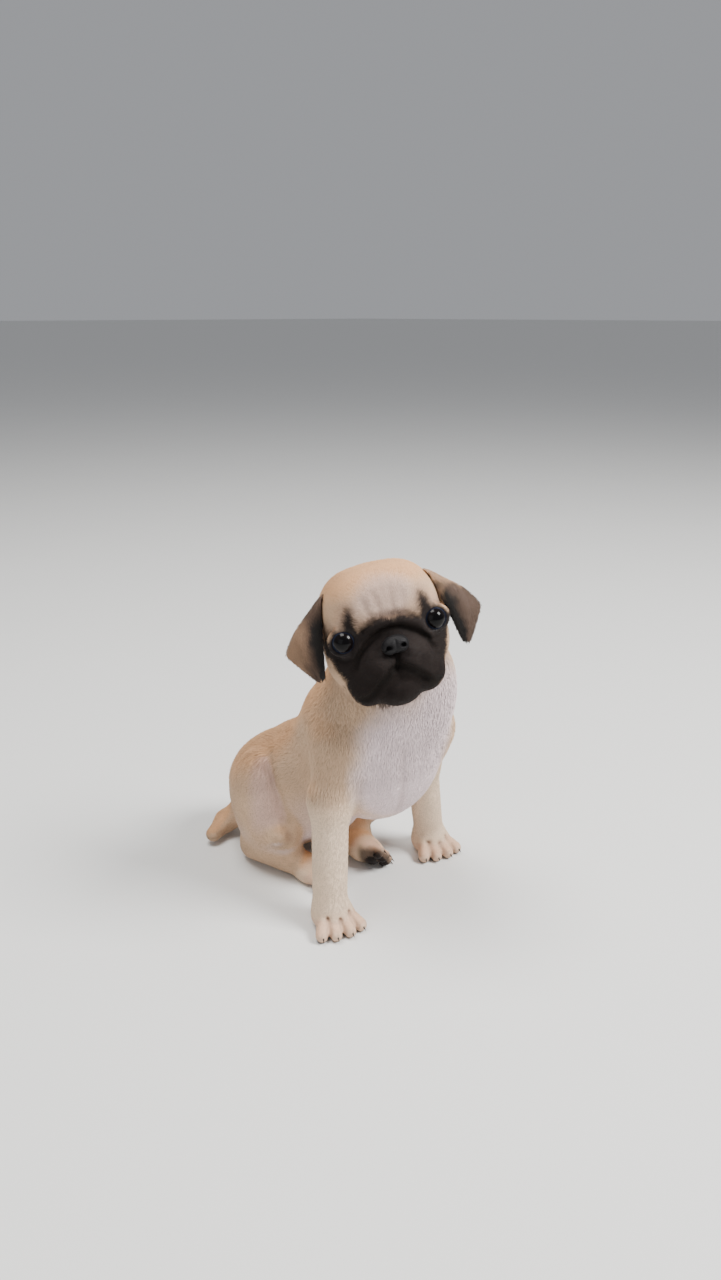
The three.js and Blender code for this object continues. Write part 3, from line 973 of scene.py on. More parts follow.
@dataclass
class Body:
    """The skin's own field: the solids' forms less the depth of the coat, with lids, folds and pads."""

    forms: Forms
    relief: FaceRelief = field(default_factory=FaceRelief)
    eye_at: Vec = EYE_AT
    eye_turn: float = 9.0
    eye_radius: float = 7.6
    lid_ring: float = 6.9
    lid_width: float = 1.25
    coat_depth: float = 1.0
    chest_line: tuple[Vec, ...] = ((-5, -60.5, 112), (-3, -59.5, 97), (-1, -57.5, 80), (3, -50, 64))
    armpit: tuple[Vec, ...] = ((-24, -46, 92), (-24, -42, 80), (-24, -34, 70))
    thigh_fold: tuple[Vec, ...] = ((-29, 32, 82), (-31, 22, 62), (-32, 12, 42), (-31, 8, 32))
    knee_fold: tuple[Vec, ...] = ((-30, 8, 33), (-35, 11, 29), (-40, 17, 26))

    jaw_fold: tuple[Vec, ...] = ((-40, 22, -14), (-36, 17, -28), (-25, 14, -38), (-12, 12, -42))

    def __post_init__(self) -> None:
        """Works out the parts that are used at every point."""
        self.flesh = self.forms.flesh()
        self.creases = self.relief.creases(self.forms)
        self.body_creases = [
            Crease(settled(self.flesh, self.chest_line), 1.2, 2.6),
            Crease(settled(self.flesh, self.armpit), 1.6, 3.0),
            Crease(settled(self.flesh, self.thigh_fold), 2.6, 3.0),
            Crease(settled(self.flesh, self.knee_fold), 2.0, 2.2),
            Crease(settled(self.flesh, FACE.out(np.float32(self.jaw_fold))), 1.3, 2.2),
        ]
        self.eye_place = Place(self.eye_at, self.eye_turn)
        self.paws = [(place, paw.pads(), paw.gaps()) for place, paw in self.forms.paws()]

    def lids(self, local: np.ndarray) -> np.ndarray:
        """The ring of the lids, heavier above the eye, in the folded frame of the face."""
        eye = self.eye_place.into(local)
        ring = np.hypot(eye[:, 0] / 1.04, eye[:, 2] / 0.96) - self.lid_ring
        deep = eye[:, 1] + math.sqrt(self.eye_radius**2 - self.lid_ring**2) + 0.4
        return np.hypot(ring, deep) - self.lid_width - 0.35 * np.clip(eye[:, 2] / self.lid_ring, 0, 1)

    def depth(self, points: np.ndarray, local: np.ndarray) -> np.ndarray:
        """The coat's depth over each point: least on the face and the feet."""
        face = step(22, 6, local[:, 1]) * step(46, 36, np.abs(local[:, 2])) * step(44, 34, local[:, 0])
        feet = step(24, 12, points[:, 2])
        return self.coat_depth * (1 - 0.55 * np.maximum(face, feet * 0.6))

    def __call__(self, points: np.ndarray) -> np.ndarray:
        """The skin's distance at each point."""
        total = self.flesh(points)
        near = np.flatnonzero(np.abs(total) < 7)
        if len(near) == 0:
            return total
        close = points[near]
        local = folded(close)
        value = total[near] + self.depth(close, local)
        for crease in self.body_creases:
            value = value + crease.lift(close)
        for place, pads, gaps in self.paws:
            spot = place.into(close)
            value = join(value, pads(spot), 0.8)
            for gap in gaps:
                value = value + gap.lift(spot) * 1.3
        face = np.flatnonzero((local[:, 1] < 26) & (np.abs(local[:, 2]) < 48) & (local[:, 0] < 44))
        if len(face):
            part = local[face]
            shaped = value[face]
            for crease in self.creases:
                shaped = shaped + crease.lift(part)
            away = np.linalg.norm(part - np.float32(self.eye_at), axis=1)
            shaped = -join(-shaped, away - (self.eye_radius - 0.7), 1.0)
            shaped = join(shaped, self.lids(part), 1.6)
            value[face] = shaped
        total[near] = value
        return np.maximum(total, 0.05 - points[:, 2])

    def furrow(self, points: np.ndarray) -> np.ndarray:
        """Painted shade from 0 to 1: how deep each point sits in a crease or between the toes, with the
        lower muzzle a little darker too.
        """
        local = folded(points)
        total = np.zeros(len(points), np.float32)
        for crease in self.creases:
            total += np.maximum(replace(crease, width=crease.width * 1.6).lift(local), 0) / 2.2
        for crease in self.body_creases:
            total += np.maximum(crease.lift(points), 0) / 3.6
        for place, paw in self.forms.paws():
            spot = place.into(points)
            for gap in paw.gaps():
                total += gap.lift(spot)
        low = step(-12, -26, local[:, 2]) * step(60, 50, np.abs(local[:, 2]))
        total += low * step(30, 10, local[:, 1]) * 0.22
        return np.clip(total, 0, 1)


@dataclass
class Markings:
    """Where each colour lies, painted shade and a painted highlight among them, worked out from the place
    and the lie of the surface.
    """

    forms: Forms
    body: Body
    chest_way: Vec = (-0.25, -1.0, -0.12)
    chest_spots: tuple[tuple[Vec, Vec], ...] = (((2, -54, 98), (33, 26, 46)), ((16, -60, 136), (24, 20, 26)))
    forehead: tuple[Vec, Vec] = ((0, 0, 18), (15, 60, 9.5))

    def __post_init__(self) -> None:
        """Keeps the fields that the markings are measured from."""
        self.head = self.forms.head()
        self.tail = self.forms.tail()
        self.legs = melt(6, *(leg.shape() for leg in self.forms.forelegs))
        self.shanks = melt(6, *(leg.shank_shape() for leg in self.forms.hindlegs))
        self.thighs = melt(6, *(leg.thigh_shape() for leg in self.forms.hindlegs))
        self.paws = melt(2, *(placed(place, paw.shape()) for place, paw in self.forms.paws()))
        self.pads = melt(1, *(placed(place, paw.pads()) for place, paw in self.forms.paws()))

    @staticmethod
    def mask_shape(local: np.ndarray) -> np.ndarray:
        """The mask's outline: muzzle, bridge, a patch round each eye and a spike over each brow."""
        return melt(
            3,
            ball((0, 0, -23), (27.5, 50, 21)),
            ball((0, 0, -2), (20, 50, 10.5)),
            ball((24.4, 0, -2.8), (10, 50, 10.8)),
            ball((21.5, 0, -13), (9, 50, 9.5)),
            limb((20.6, 0, 5), (18.8, 0, 13.6), 5.4, 2.2),
        )(local * np.float32([1, 0, 1]))

    def mask(self, points: np.ndarray) -> np.ndarray:
        """The black mask, ragged at its edge."""
        local = folded(points)
        ragged = self.mask_shape(local) + Grain(5.0, 3).at(points) * 1.1 + Grain(1.6, 4).at(points) * 0.9
        soft_top = 1.0 + 1.4 * step(0, 8, local[:, 2])
        forward = step(25, 15, local[:, 1] + Grain(6.0, 5).at(points) * 2)
        return step(1.2, -1.4, ragged / soft_top) * forward

    def at(self, points: np.ndarray, normals: np.ndarray) -> dict[str, np.ndarray]:
        """The share of each colour at each point.

        Args:
            points: Points of the surface in millimetres.
            normals: The surface's directions there.

        Returns:
            Values from 0 to 1 by name.
        """
        x, _, z = points.T
        local = folded(points)
        soft = Grain(16.0, 6).at(points)
        on_head = step(5, -1, self.head(points))
        on_thigh = step(3, -1, self.thighs(points))
        leg = step(5, 0, self.legs(points)) * step(96, 62, z)
        foot = step(3, 0, self.paws(points))
        # Painted highlight: a pale pink band on the front of the thigh, where the light falls
        thigh = on_thigh * step(0.1, 0.6, -normals[:, 1]) * step(20, 34, z)
        chest = self.chest(points, normals, soft) * (1 - on_head)
        belly = step(0.0, 0.7, -normals[:, 2]) * step(80, 50, z) * step(16, 26, z) * (1 - leg)
        above = step(0.15, 0.75, normals[:, 2] + 0.35 * normals[:, 1])
        ashen, haze = self.brow(local, soft, on_head)
        lilac = np.maximum(np.maximum(np.maximum(chest, belly * 0.8) * (1 - foot), haze), thigh * 0.4)
        # Painted shade on the body's side between the thigh and the foreleg
        between = step(34, 6, self.thighs(points)) * step(34, 6, self.legs(points)) * step(100, 70, z)
        flank_shade = between * (1 - on_thigh) * (1 - leg) * step(0, -12, x)
        toes = foot * step(0.2, -0.1, self.paws(points) + 0.4)
        eye = np.linalg.norm(local - np.float32(EYE_AT), axis=1)
        return {
            "apricot": np.clip(above * 0.85 + soft * 0.15, 0, 1) * (1 - 0.6 * leg),
            "cream": np.clip(np.maximum(leg * 0.75, foot * 0.55) + chest * 0.5 + soft * 0.08, 0, 1),
            "lilac": np.clip(lilac, 0, 1),
            "blush": np.clip(thigh * 0.3 + toes * 0.25, 0, 1),
            "ashen": np.clip(ashen, 0, 1),
            "black": np.clip(self.mask(points), 0, 1),
            "pad": np.clip(np.maximum(step(0.9, 0.1, self.pads(points)), self.sole(points) * 0.85), 0, 1),
            "furrow": np.clip(self.shade(points, on_head) + flank_shade * 0.75, 0, 1),
            "wet": step(10.5, 8.6, eye),
        }

    def chest(self, points: np.ndarray, normals: np.ndarray, soft: np.ndarray) -> np.ndarray:
        """The pale chest and throat, on what faces forward."""
        front = step(0.05, 0.65, normals @ unit(np.float32([self.chest_way]))[0])
        place = melt(12, *(ball(*spot) for spot in self.chest_spots))(points) + soft * 4
        return step(7, -9, place) * front

    def brow(
        self, local: np.ndarray, soft: np.ndarray, on_head: np.ndarray
    ) -> tuple[np.ndarray, np.ndarray]:
        """The grey smudges and the paler haze on the forehead.

        Args:
            local: Points in the face's frame, folded onto its left half.
            soft: Slow noise at the points.
            on_head: The share of the head at each point.

        Returns:
            The share of grey and of haze.
        """
        forehead = ball(*self.forehead)(local * np.float32([1, 0, 1]))
        forward = step(22, 10, local[:, 1])
        smoke = step(7, 0, self.mask_shape(local)) * on_head * forward * step(2, 8, local[:, 2])
        ashen = step(4, -6, forehead + soft * 2.5) * forward * on_head * 0.42
        haze = step(3, -5, forehead + soft * 3 - 2) * forward * on_head * 0.35
        return np.maximum(ashen, smoke * 0.5), haze

    def sole(self, points: np.ndarray) -> np.ndarray:
        """The dark sole of the left hind foot, which lies on its side."""
        place, paw = self.forms.paws()[3]
        local = place.into(points)
        under = step(7.5, 2.5, local[:, 2] + Grain(3.0, 12).at(points)) * step(3, 0, paw.shape()(local))
        return under * step(9, 3, local[:, 1])

    def shade(self, points: np.ndarray, on_head: np.ndarray) -> np.ndarray:
        """The painted shade of the creases, and of the throat under the chin."""
        _, y, z = points.T
        # Painted shade on the throat, under the chin
        throat = step(9, 0, self.head(points)) * (1 - on_head) * step(190, 176, z) * step(30, 0, y + 30)
        return np.clip(self.body.furrow(points) + throat * 0.6, 0, 1)


@dataclass
class Lie:
    """The way the coat lies: back from the nose, down the body and legs, forward over the paws."""

    forms: Forms

    def __post_init__(self) -> None:
        """Keeps the fields that part one stretch of the coat from the next."""
        self.head = self.forms.head()
        self.tail = self.forms.tail()
        self.trunk = self.forms.trunk()
        self.legs = melt(6, *(leg.shape() for leg in self.forms.forelegs))
        self.shanks = melt(6, *(leg.shank_shape() for leg in self.forms.hindlegs))
        self.thighs = melt(6, *(leg.thigh_shape() for leg in self.forms.hindlegs))

    def at(self, points: np.ndarray, normals: np.ndarray, turns: np.ndarray) -> np.ndarray:
        """The direction of the fur along the surface at each point, turned a little by the given angles."""
        total = np.zeros_like(points)

        def add(distance: np.ndarray, way: np.ndarray, reach: float = 3.0) -> None:
            """Adds a stretch's direction, weighed by how near it is."""
            total[:] += unit(way) * np.exp(-np.maximum(distance, 0) / reach)[:, None]

        local = FACE.into(points)
        back = local - np.float32([0, -17, -6])
        add(self.head(points), back @ FACE.turn().T, 2.0)
        sweep = np.clip((points[:, 1] + 34) / 55, 0.05, 1.3)
        add(self.trunk(points), np.stack([0 * sweep, sweep, -np.ones_like(sweep)], 1))
        down = np.tile(np.float32([0, 0.05, -1]), (len(points), 1))
        add(self.legs(points), down)
        add(self.thighs(points), down + np.float32([0, 0.25, 0]))
        add(self.shanks(points), np.tile(np.float32([0, -0.9, -0.35]), (len(points), 1)))
        base, bend, tip = (np.float32(p) for p in self.forms.tail_line)
        first = (points[:, 1] > 86) | (points[:, 0] > -22)
        add(self.tail(points), np.where(first[:, None], bend - base, tip - bend), 1.5)
        for place, paw in self.forms.paws():
            spot = place.into(points)
            way = (spot - np.float32([0, 9, 24]) * paw.scale) @ place.turn().T
            add(paw.shape()(spot), way, 1.5)
        flat = unit(total - normals * (total * normals).sum(1, keepdims=True))
        side = np.cross(normals, flat)
        return flat * np.cos(turns)[:, None] + side * np.sin(turns)[:, None]


# Tufts.


@dataclass
class Roots:
    """Where tufts grow, and how each one is."""

    points: np.ndarray
    normals: np.ndarray
    ways: np.ndarray
    lengths: np.ndarray
    widths: np.ndarray
    uvs: np.ndarray
    marks: dict[str, np.ndarray]

    def part(self, chosen: np.ndarray) -> "Roots":
        """Some of the roots."""
        marks = {name: values[chosen] for name, values in self.marks.items()}
        kept = (self.points, self.normals, self.ways, self.lengths, self.widths, self.uvs)
        return Roots(*(values[chosen] for values in kept), marks)


@dataclass(frozen=True)
class Tufts:
    """Thin bent slivers of fur, three-sided and pointed."""

    bench: Bench
    rise: float = 0.2
    patch: float = 0.0015

    def grow(self, name: str, roots: Roots, material: bpy.types.Material, slot: str) -> bpy.types.Object:
        """Makes one piece of coat.

        Args:
            name: Name of the piece.
            roots: Where and how its tufts grow.
            material: Its finish.
            slot: Not used.

        Returns:
            The piece.
        """
        count = len(roots.points)
        side = np.cross(roots.normals, roots.ways)
        long, wide = roots.lengths[:, None], roots.widths[:, None] / 2
        up, way = roots.normals, roots.ways
        foot = roots.points - up * 0.15
        waist = roots.points + way * long * 0.5 + up * long * self.rise * 0.62
        rows = [
            foot - side * wide,
            foot + side * wide,
            foot + up * wide * 0.9,
            waist - side * wide * 0.85,
            waist + side * wide * 0.85,
            waist + up * wide * 0.7,
            roots.points + way * long + up * long * self.rise,
        ]
        points = np.stack(rows, 1).reshape(-1, 3)
        shape = np.array(
            [
                [0, 2, 1],
                [1, 3, 0],
                [1, 4, 3],
                [2, 4, 1],
                [2, 5, 4],
                [0, 5, 2],
                [0, 3, 5],
                [4, 6, 3],
                [5, 6, 4],
                [3, 6, 5],
            ]
        )
        faces = (np.arange(count)[:, None, None] * 7 + shape[None]).reshape(-1, 3)
        marks = {key: np.repeat(values, 7) for key, values in roots.marks.items()}
        marks["tip"] = np.tile([0, 0, 0.1, 0.6, 0.6, 0.7, 1.0], count)
        obj = self.bench.piece(name, points, faces, marks)
        edges = [-side * 0.55, side * 0.55, up * 0.3]
        lean = np.stack([*edges, *edges, way * 0.25], 1)
        shade = unit((up[:, None] + lean).reshape(-1, 3))
        obj.data.normals_split_custom_set_from_vertices(shade)
        ring = [[-1, -1], [1, -1], [0, -0.6], [-0.8, 0.1], [0.8, 0.1], [0, 0.3], [0, 1]]
        spread = np.float32(ring) * self.patch
        corner = np.clip(roots.uvs[:, None] + spread[None], 0, 1).reshape(-1, 2)[faces.ravel()]
        layer = obj.data.uv_layers.new(name="OFBake")
        layer.data.foreach_set("uv", corner.astype(np.float32).ravel())
        obj.data.materials.append(material)
        return obj


def scatter(
    points: np.ndarray, faces: np.ndarray, weights: np.ndarray, count: int, seed: int
) -> tuple[np.ndarray, np.ndarray]:
    """Random places on a mesh of triangles.

    Args:
        points: Its vertices.
        faces: Its triangles.
        weights: How densely each triangle is planted, for its area.
        count: How many places.
        seed: Seed of the choice.

    Returns:
        The triangle of each place, and its share of the triangle's three corners.
    """
    rng = np.random.default_rng(seed)
    a, b, c = (points[faces[:, i]] for i in range(3))
    area = np.linalg.norm(np.cross(b - a, c - a), axis=1) * weights
    running = np.cumsum(area)
    chosen = np.searchsorted(running, (np.arange(count) + rng.random(count)) / count * running[-1])
    chosen = np.minimum(chosen, len(faces) - 1)
    first, second = rng.random((2, count))
    over = first + second > 1
    first, second = np.where(over, 1 - first, first), np.where(over, 1 - second, second)
    return chosen, np.stack([1 - first - second, first, second], 1).astype(np.float32)


def vertex_normals(points: np.ndarray, faces: np.ndarray) -> np.ndarray:
    """Smooth directions at the vertices of a mesh of triangles."""
    a, b, c = (points[faces[:, i]] for i in range(3))
    flat = np.cross(b - a, c - a)
    total = np.zeros_like(points)
    for corner in range(3):
        for axis in range(3):
            total[:, axis] += np.bincount(faces[:, corner], flat[:, axis], len(points))
    return unit(total)


# Sub-assemblies.


@dataclass
class Skin:
    """One skin over the whole body, without a seam."""

    bench: Bench
    body: Body
    markings: Markings
    cell: float = 1.75
    replaced: tuple[str, ...] = (
        "head",
        "neck",
        "torso",
        "tail",
        *(f"front_{side.word}_{part}" for side in Side for part in ("leg", "paw")),
        *(f"hind_{side.word}_{part}" for side in Side for part in ("thigh", "shank", "paw")),
    )

    def build(self) -> bpy.types.Object:
        """Makes the skin, and keeps its triangles, directions and unwrap for the coat."""
        axes = [
            graded(-66, 82, self.cell, [(-56, 8, 1.0)]),
            graded(-92, 100, self.cell, [(-90, -46, 1.0)]),
            graded(-2, 232, self.cell, [(-2, 15, 1.25), (148, 206, 1.0)]),
        ]
        self.points, quads = surface_of(self.body, axes)
        triangles = np.concatenate([quads[:, [0, 1, 2]], quads[:, [0, 2, 3]]])
        self.normals = vertex_normals(self.points, triangles)
        self.faces = triangles
        marks = self.markings.at(self.points, self.normals)
        obj = self.bench.piece("skin", self.points, quads, marks)
        corners = unwrap(obj)
        numbers = np.arange(len(quads) * 4).reshape(-1, 4)
        self.loops = np.concatenate([numbers[:, [0, 1, 2]], numbers[:, [0, 2, 3]]])
        self.uvs = corners
        obj.data.materials.append(CoatFinish().skin())
        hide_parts(*self.replaced)
        return obj


@dataclass(frozen=True)
class Stretch:
    """One stretch of the coat: how many tufts, how long and how wide."""

    name: str
    count: int
    length: float
    width: float
    slot: str = "coat"


@dataclass
class Coat:
    """Short fur over the skin, parted into stretches."""

    bench: Bench
    skin: Skin
    markings: Markings
    lie: Lie
    most: int = 19500
    stretches: tuple[Stretch, ...] = (
        Stretch("face", 26000, 2.1, 0.34),
        Stretch("crown", 19000, 3.6, 0.42),
        Stretch("chest", 19000, 4.6, 0.5),
        Stretch("back", 24000, 5.2, 0.52),
        Stretch("legs", 22000, 3.8, 0.44),
        Stretch("paws", 9000, 2.3, 0.36, "paw"),
        Stretch("tail", 2600, 3.8, 0.44),
    )

    def shares(self, middles: np.ndarray, normals: np.ndarray) -> dict[str, np.ndarray]:
        """Which stretch each triangle belongs to, as a weight of 0 or 1."""
        local = folded(middles)
        head = self.markings.head(middles) < 3.5
        face = head & (local[:, 1] < 13)
        paws = self.markings.paws(middles) < 1.5
        tail = (self.markings.tail(middles) < 2) & (middles[:, 1] > 84)
        limbs = np.minimum(self.markings.legs(middles), self.markings.shanks(middles)) < 2.5
        limbs |= self.markings.thighs(middles) < 1.5
        limbs &= middles[:, 2] < 84
        front = normals[:, 1] < 0.1
        kinds = {}
        left = np.ones(len(middles), bool)
        order = {"face": face, "crown": head, "paws": paws, "tail": tail, "legs": limbs}
        for name, chosen in order.items():
            kinds[name] = left & chosen
            left = left & ~chosen
        kinds["chest"] = left & front
        kinds["back"] = left & ~front
        return kinds

    def bare(self, middles: np.ndarray) -> np.ndarray:
        """Where nothing grows: under the eyes and the nose, on the pads and under the feet."""
        local = folded(middles)
        eye = np.linalg.norm(local - np.float32(EYE_AT), axis=1) < 8.35
        nose = ball((0, -12.5, -6), (8.0, 6, 5.0))(local) < 0
        pads = self.markings.pads(middles) < 0.35
        return eye | nose | pads | (middles[:, 2] < 0.8)

    def build(self) -> list[bpy.types.Object]:
        """Makes the coat's pieces."""
        skin = self.skin
        material = CoatFinish().tufts()
        middles = skin.points[skin.faces].mean(1)
        facing = unit(skin.normals[skin.faces].mean(1))
        open_skin = ~self.bare(middles)
        shares = self.shares(middles, facing)
        tufts = Tufts(self.bench)
        made = []
        for number, stretch in enumerate(self.stretches):
            weights = (shares[stretch.name] & open_skin).astype(np.float32)
            roots = self.plant(stretch, weights, SEED + number)
            parts = math.ceil(len(roots.points) / self.most)
            for part, chosen in enumerate(np.array_split(np.arange(len(roots.points)), parts)):
                name = f"coat_{stretch.name}_{part + 1}"
                made.append(tufts.grow(name, roots.part(chosen), material, stretch.slot))
        return made

    def plant(self, stretch: Stretch, weights: np.ndarray, seed: int) -> Roots:
        """Chooses the roots of one stretch."""
        skin = self.skin
        chosen, shares = scatter(skin.points, skin.faces, weights, stretch.count, seed)
        corners = skin.faces[chosen]
        points = (skin.points[corners] * shares[..., None]).sum(1)
        normals = unit((skin.normals[corners] * shares[..., None]).sum(1))
        uvs = (skin.uvs[skin.loops[chosen]] * shares[..., None]).sum(1)
        rng = np.random.default_rng(seed + 100)
        turns = Grain(14.0, 21).at(points) * 0.3 + rng.normal(0, 0.16, stretch.count)
        ways = self.lie.at(points, normals, turns)
        marks = self.markings.at(points, normals)
        lengths = stretch.length * rng.uniform(0.7, 1.15, stretch.count)
        local = folded(points)
        lengths = lengths * (0.45 + 0.55 * step(-38, -28, local[:, 2] + 60 * (local[:, 1] > 14)))
        if stretch.name == "face":
            nose = np.linalg.norm(local - np.float32([0, -14, -8]), axis=1)
            lengths = lengths * (0.62 + 0.5 * step(4, 20, nose))
        eye = np.linalg.norm(local - np.float32(EYE_AT), axis=1)
        lengths = lengths * (0.25 + 0.75 * step(8.6, 13.5, eye)) * (1 - 0.6 * marks["furrow"])
        lengths = lengths * (0.45 + 0.55 * step(0.8, 8, points[:, 2]))
        ways[:, 2] = np.maximum(ways[:, 2], -(points[:, 2] - 0.3) / np.maximum(lengths, 0.1))
        marks["tone"] = np.clip(rng.normal(0.4, 0.3, stretch.count), 0, 1)
        marks.pop("wet")
        widths = stretch.width * rng.uniform(0.75, 1.25, stretch.count)
        return Roots(points, normals, unit(ways), lengths, widths, uvs, marks)


@dataclass
class Ear:
    """One ear: a leaf that rises from its root, folds over and hangs."""

    bench: Bench
    side: Side
    root: tuple[Vec, Vec] = ((22, 26, 26), (30, 37, -2))
    fold: tuple[Vec, Vec] = ((30, 13, 25.5), (58.5, 18.5, -0.5))
    tip: tuple[Vec, Vec] = ((38.5, 5.5, -17.5), (42.5, 7, -19))
    thickness: float = 1.7
    rows: int = 64
    columns: int = 36
    tufts: int = 6000

    def leaf(self, across: np.ndarray, along: np.ndarray) -> np.ndarray:
        """Points of the leaf's middle, across from its inner to its outer edge and along to its tip."""
        fold = 2 * along - 1
        down = (fold + np.hypot(fold, 0.16)) / 2
        back = (-fold + np.hypot(fold, 0.16)) / 2
        root, ridge, tip = (
            np.float32(inner) + (np.float32(outer) - np.float32(inner)) * across[:, None]
            for inner, outer in (self.root, self.fold, self.tip)
        )
        bow = np.sin(math.pi * across) * (0.4 + 0.6 * np.sin(math.pi * np.minimum(1, down)))
        wave = 0.35 * np.sin(9 * across + 5 * along) * np.sin(math.pi * across) * step(0.1, 0.5, along)
        middle = ridge + (tip - ridge) * down[:, None] + (root - ridge) * back[:, None]
        return middle + np.float32([[0.75, -0.5, 0.4]]) * (4.2 * bow + wave)[:, None]

    def build(self) -> list[bpy.types.Object]:
        """Makes the leaf and the velvet on it."""
        wide, high = self.columns + 1, self.rows + 1
        lines = (np.linspace(0, 1, count) for count in (high, wide))
        along, across = (grid.ravel() for grid in np.meshgrid(*lines, indexing="ij"))
        middle = self.leaf(across, along)
        over = self.leaf(across + 0.01, along) - self.leaf(across - 0.01, along)
        down = self.leaf(across, along + 0.01) - self.leaf(across, along - 0.01)
        out = unit(np.cross(over, down))
        edge = np.minimum(np.minimum(across, 1 - across), 1 - along)
        thick = self.thickness / 2 * np.sqrt(np.clip(edge * 9, 0.0, 1) * 0.96 + 0.04)
        points = np.concatenate([middle + out * thick[:, None], middle - out * thick[:, None]])
        grid = np.arange(wide * high).reshape(high, wide)
        a, b, c, d = grid[:-1, :-1], grid[:-1, 1:], grid[1:, 1:], grid[1:, :-1]
        front = np.stack([a, b, c, d], -1).reshape(-1, 4)
        far = wide * high
        rim = np.concatenate([grid[0, ::-1], grid[1:, 0], grid[-1, 1:], grid[-2:0:-1, -1]])
        after = np.roll(rim, -1)
        sides = np.stack([rim, after, after + far, rim + far], 1)
        faces = np.concatenate([front, front[:, ::-1] + far, sides])
        marks = {"along": np.tile(along, 2), "across": np.tile(across, 2)}
        if self.side is Side.RIGHT:
            points[:, 0] *= -1
            faces = faces[:, ::-1]
        points = FACE.out(points)
        shades = self.shades(points, marks)
        obj = self.bench.piece(f"ear_leaf_{self.side.word}", points, faces, shades)
        uvs = unwrap(obj)
        obj.data.materials.append(EarFinish().dress(f"ear_{self.side.word}", False))
        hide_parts(f"ear_{self.side.word}")
        return [obj, self.velvet(points, faces, uvs, marks)]

    def shades(self, points: np.ndarray, marks: dict[str, np.ndarray]) -> dict[str, np.ndarray]:
        """The share of black and of tan over the ear; the black is partly the ear's own colour and partly
        painted shade where the ear hangs by the cheek.
        """
        along, across = marks["along"], marks["across"]
        ragged = Grain(4.0, 9).at(points) * 0.1
        # Inner edge of the lower half: the ear's own dark colour, with painted shade where it hangs by the
        # cheek
        edge = step(0.42, 0.12, across + ragged) * step(0.5, 0.66, along)
        dark = edge + step(0.6, 1.0, along + ragged) * 0.35
        if self.side is Side.RIGHT:
            tan = step(0.92, 0.5, along + ragged - 0.3 * (across - 0.5))
            tan = tan * step(0.22, 0.5, across + ragged) * 0.75
        else:
            tan = step(0.66, 0.46, along + ragged + 0.3 * (across - 0.2))
        tan = np.maximum(tan * 0.85, step(0.42, 0.2, along + ragged))
        return {"dark": np.clip(dark, 0, 1), "tan": np.clip(tan, 0, 1)}

    def velvet(
        self, points: np.ndarray, faces: np.ndarray, uvs: np.ndarray, marks: dict[str, np.ndarray]
    ) -> bpy.types.Object:
        """Makes the short dark fur of the ear."""
        triangles = np.concatenate([faces[:, [0, 1, 2]], faces[:, [0, 2, 3]]])
        numbers = np.arange(len(faces) * 4).reshape(-1, 4)
        loops = np.concatenate([numbers[:, [0, 1, 2]], numbers[:, [0, 2, 3]]])
        normals = vertex_normals(points, triangles)
        seed = SEED + 40 + self.side.value
        chosen, shares = scatter(points, triangles, np.ones(len(triangles)), self.tufts, seed)
        corners = triangles[chosen]
        spots = (points[corners] * shares[..., None]).sum(1)
        ups = unit((normals[corners] * shares[..., None]).sum(1))
        rng = np.random.default_rng(seed)
        tip = FACE.out(np.float32([np.mean(self.tip, 0) * [self.side.value, 1, 1]]))[0]
        way = unit(tip - spots + 0.001)
        way = unit(way - ups * (way * ups).sum(1, keepdims=True))
        turns = (rng.normal(0, 0.25, self.tufts) + Grain(8.0, 31).at(spots) * 0.4)[:, None]
        way = way * np.cos(turns) + np.cross(ups, way) * np.sin(turns)
        at = {name: (values[corners] * shares).sum(1) for name, values in marks.items()}
        shades = self.shades(spots, at)
        shades["tone"] = rng.random(self.tufts)
        lengths = rng.uniform(1.5, 2.6, self.tufts)
        widths = rng.uniform(0.26, 0.42, self.tufts)
        places = (uvs[loops[chosen]] * shares[..., None]).sum(1)
        roots = Roots(spots, ups, way, lengths, widths, places, shades)
        material = EarFinish().dress(f"ear_velvet_{self.side.word}", True)
        return Tufts(self.bench, 0.22).grow(f"coat_ear_{self.side.word}", roots, material, "ear")


@dataclass
class Eye:
    """One eyeball with its cornea."""

    bench: Bench
    side: Side
    body: Body
    cornea_radius: float = 5.4
    cornea_rise: float = 0.75
    rings: int = 72
    turns: int = 96

    def build(self) -> bpy.types.Object:
        """Makes the eyeball; its pole looks out of the head."""
        radius = self.body.eye_radius
        down = np.linspace(0, math.pi, self.rings + 1)[1:-1]
        round_ = np.linspace(0, 2 * math.pi, self.turns, endpoint=False)
        angle, turn = (grid.ravel() for grid in np.meshgrid(down, round_, indexing="ij"))
        away = radius * np.sin(angle)
        dome = np.clip(1 - (away / self.cornea_radius) ** 2, 0, 1)
        bulge = np.where(angle < math.pi / 2, self.cornea_rise * dome, 0)
        size = radius + bulge
        out = size * np.sin(angle)
        points = np.stack([out * np.cos(turn), -size * np.cos(angle), out * np.sin(turn)], 1)
        poles = np.array([[0, -radius - self.cornea_rise, 0], [0, radius, 0]])
        grid = np.arange(len(points)).reshape(len(down), self.turns)
        right = np.roll(grid, -1, 1)
        quads = np.stack([grid[:-1], right[:-1], right[1:], grid[1:]], -1).reshape(-1, 4)
        faces = [quads[:, [0, 1, 2]], quads[:, [0, 2, 3]]]
        faces.append(np.stack([np.full(self.turns, len(points)), right[0], grid[0]], 1))
        faces.append(np.stack([np.full(self.turns, len(points) + 1), grid[-1], right[-1]], 1))
        points = np.concatenate([points, poles]).astype(np.float32)
        marks = {"away": np.concatenate([np.where(angle < math.pi / 2, away, 8), [0, 8]])}
        sign = self.side.value
        at = (sign * self.body.eye_at[0], *self.body.eye_at[1:])
        placed_points = FACE.out(Place(at, sign * self.body.eye_turn).out(points))
        obj = self.bench.piece(f"eyeball_{self.side.word}", placed_points, np.concatenate(faces), marks)
        obj.data.materials.append(EyeFinish().dress())
        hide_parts(f"eye_{self.side.word}")
        return obj


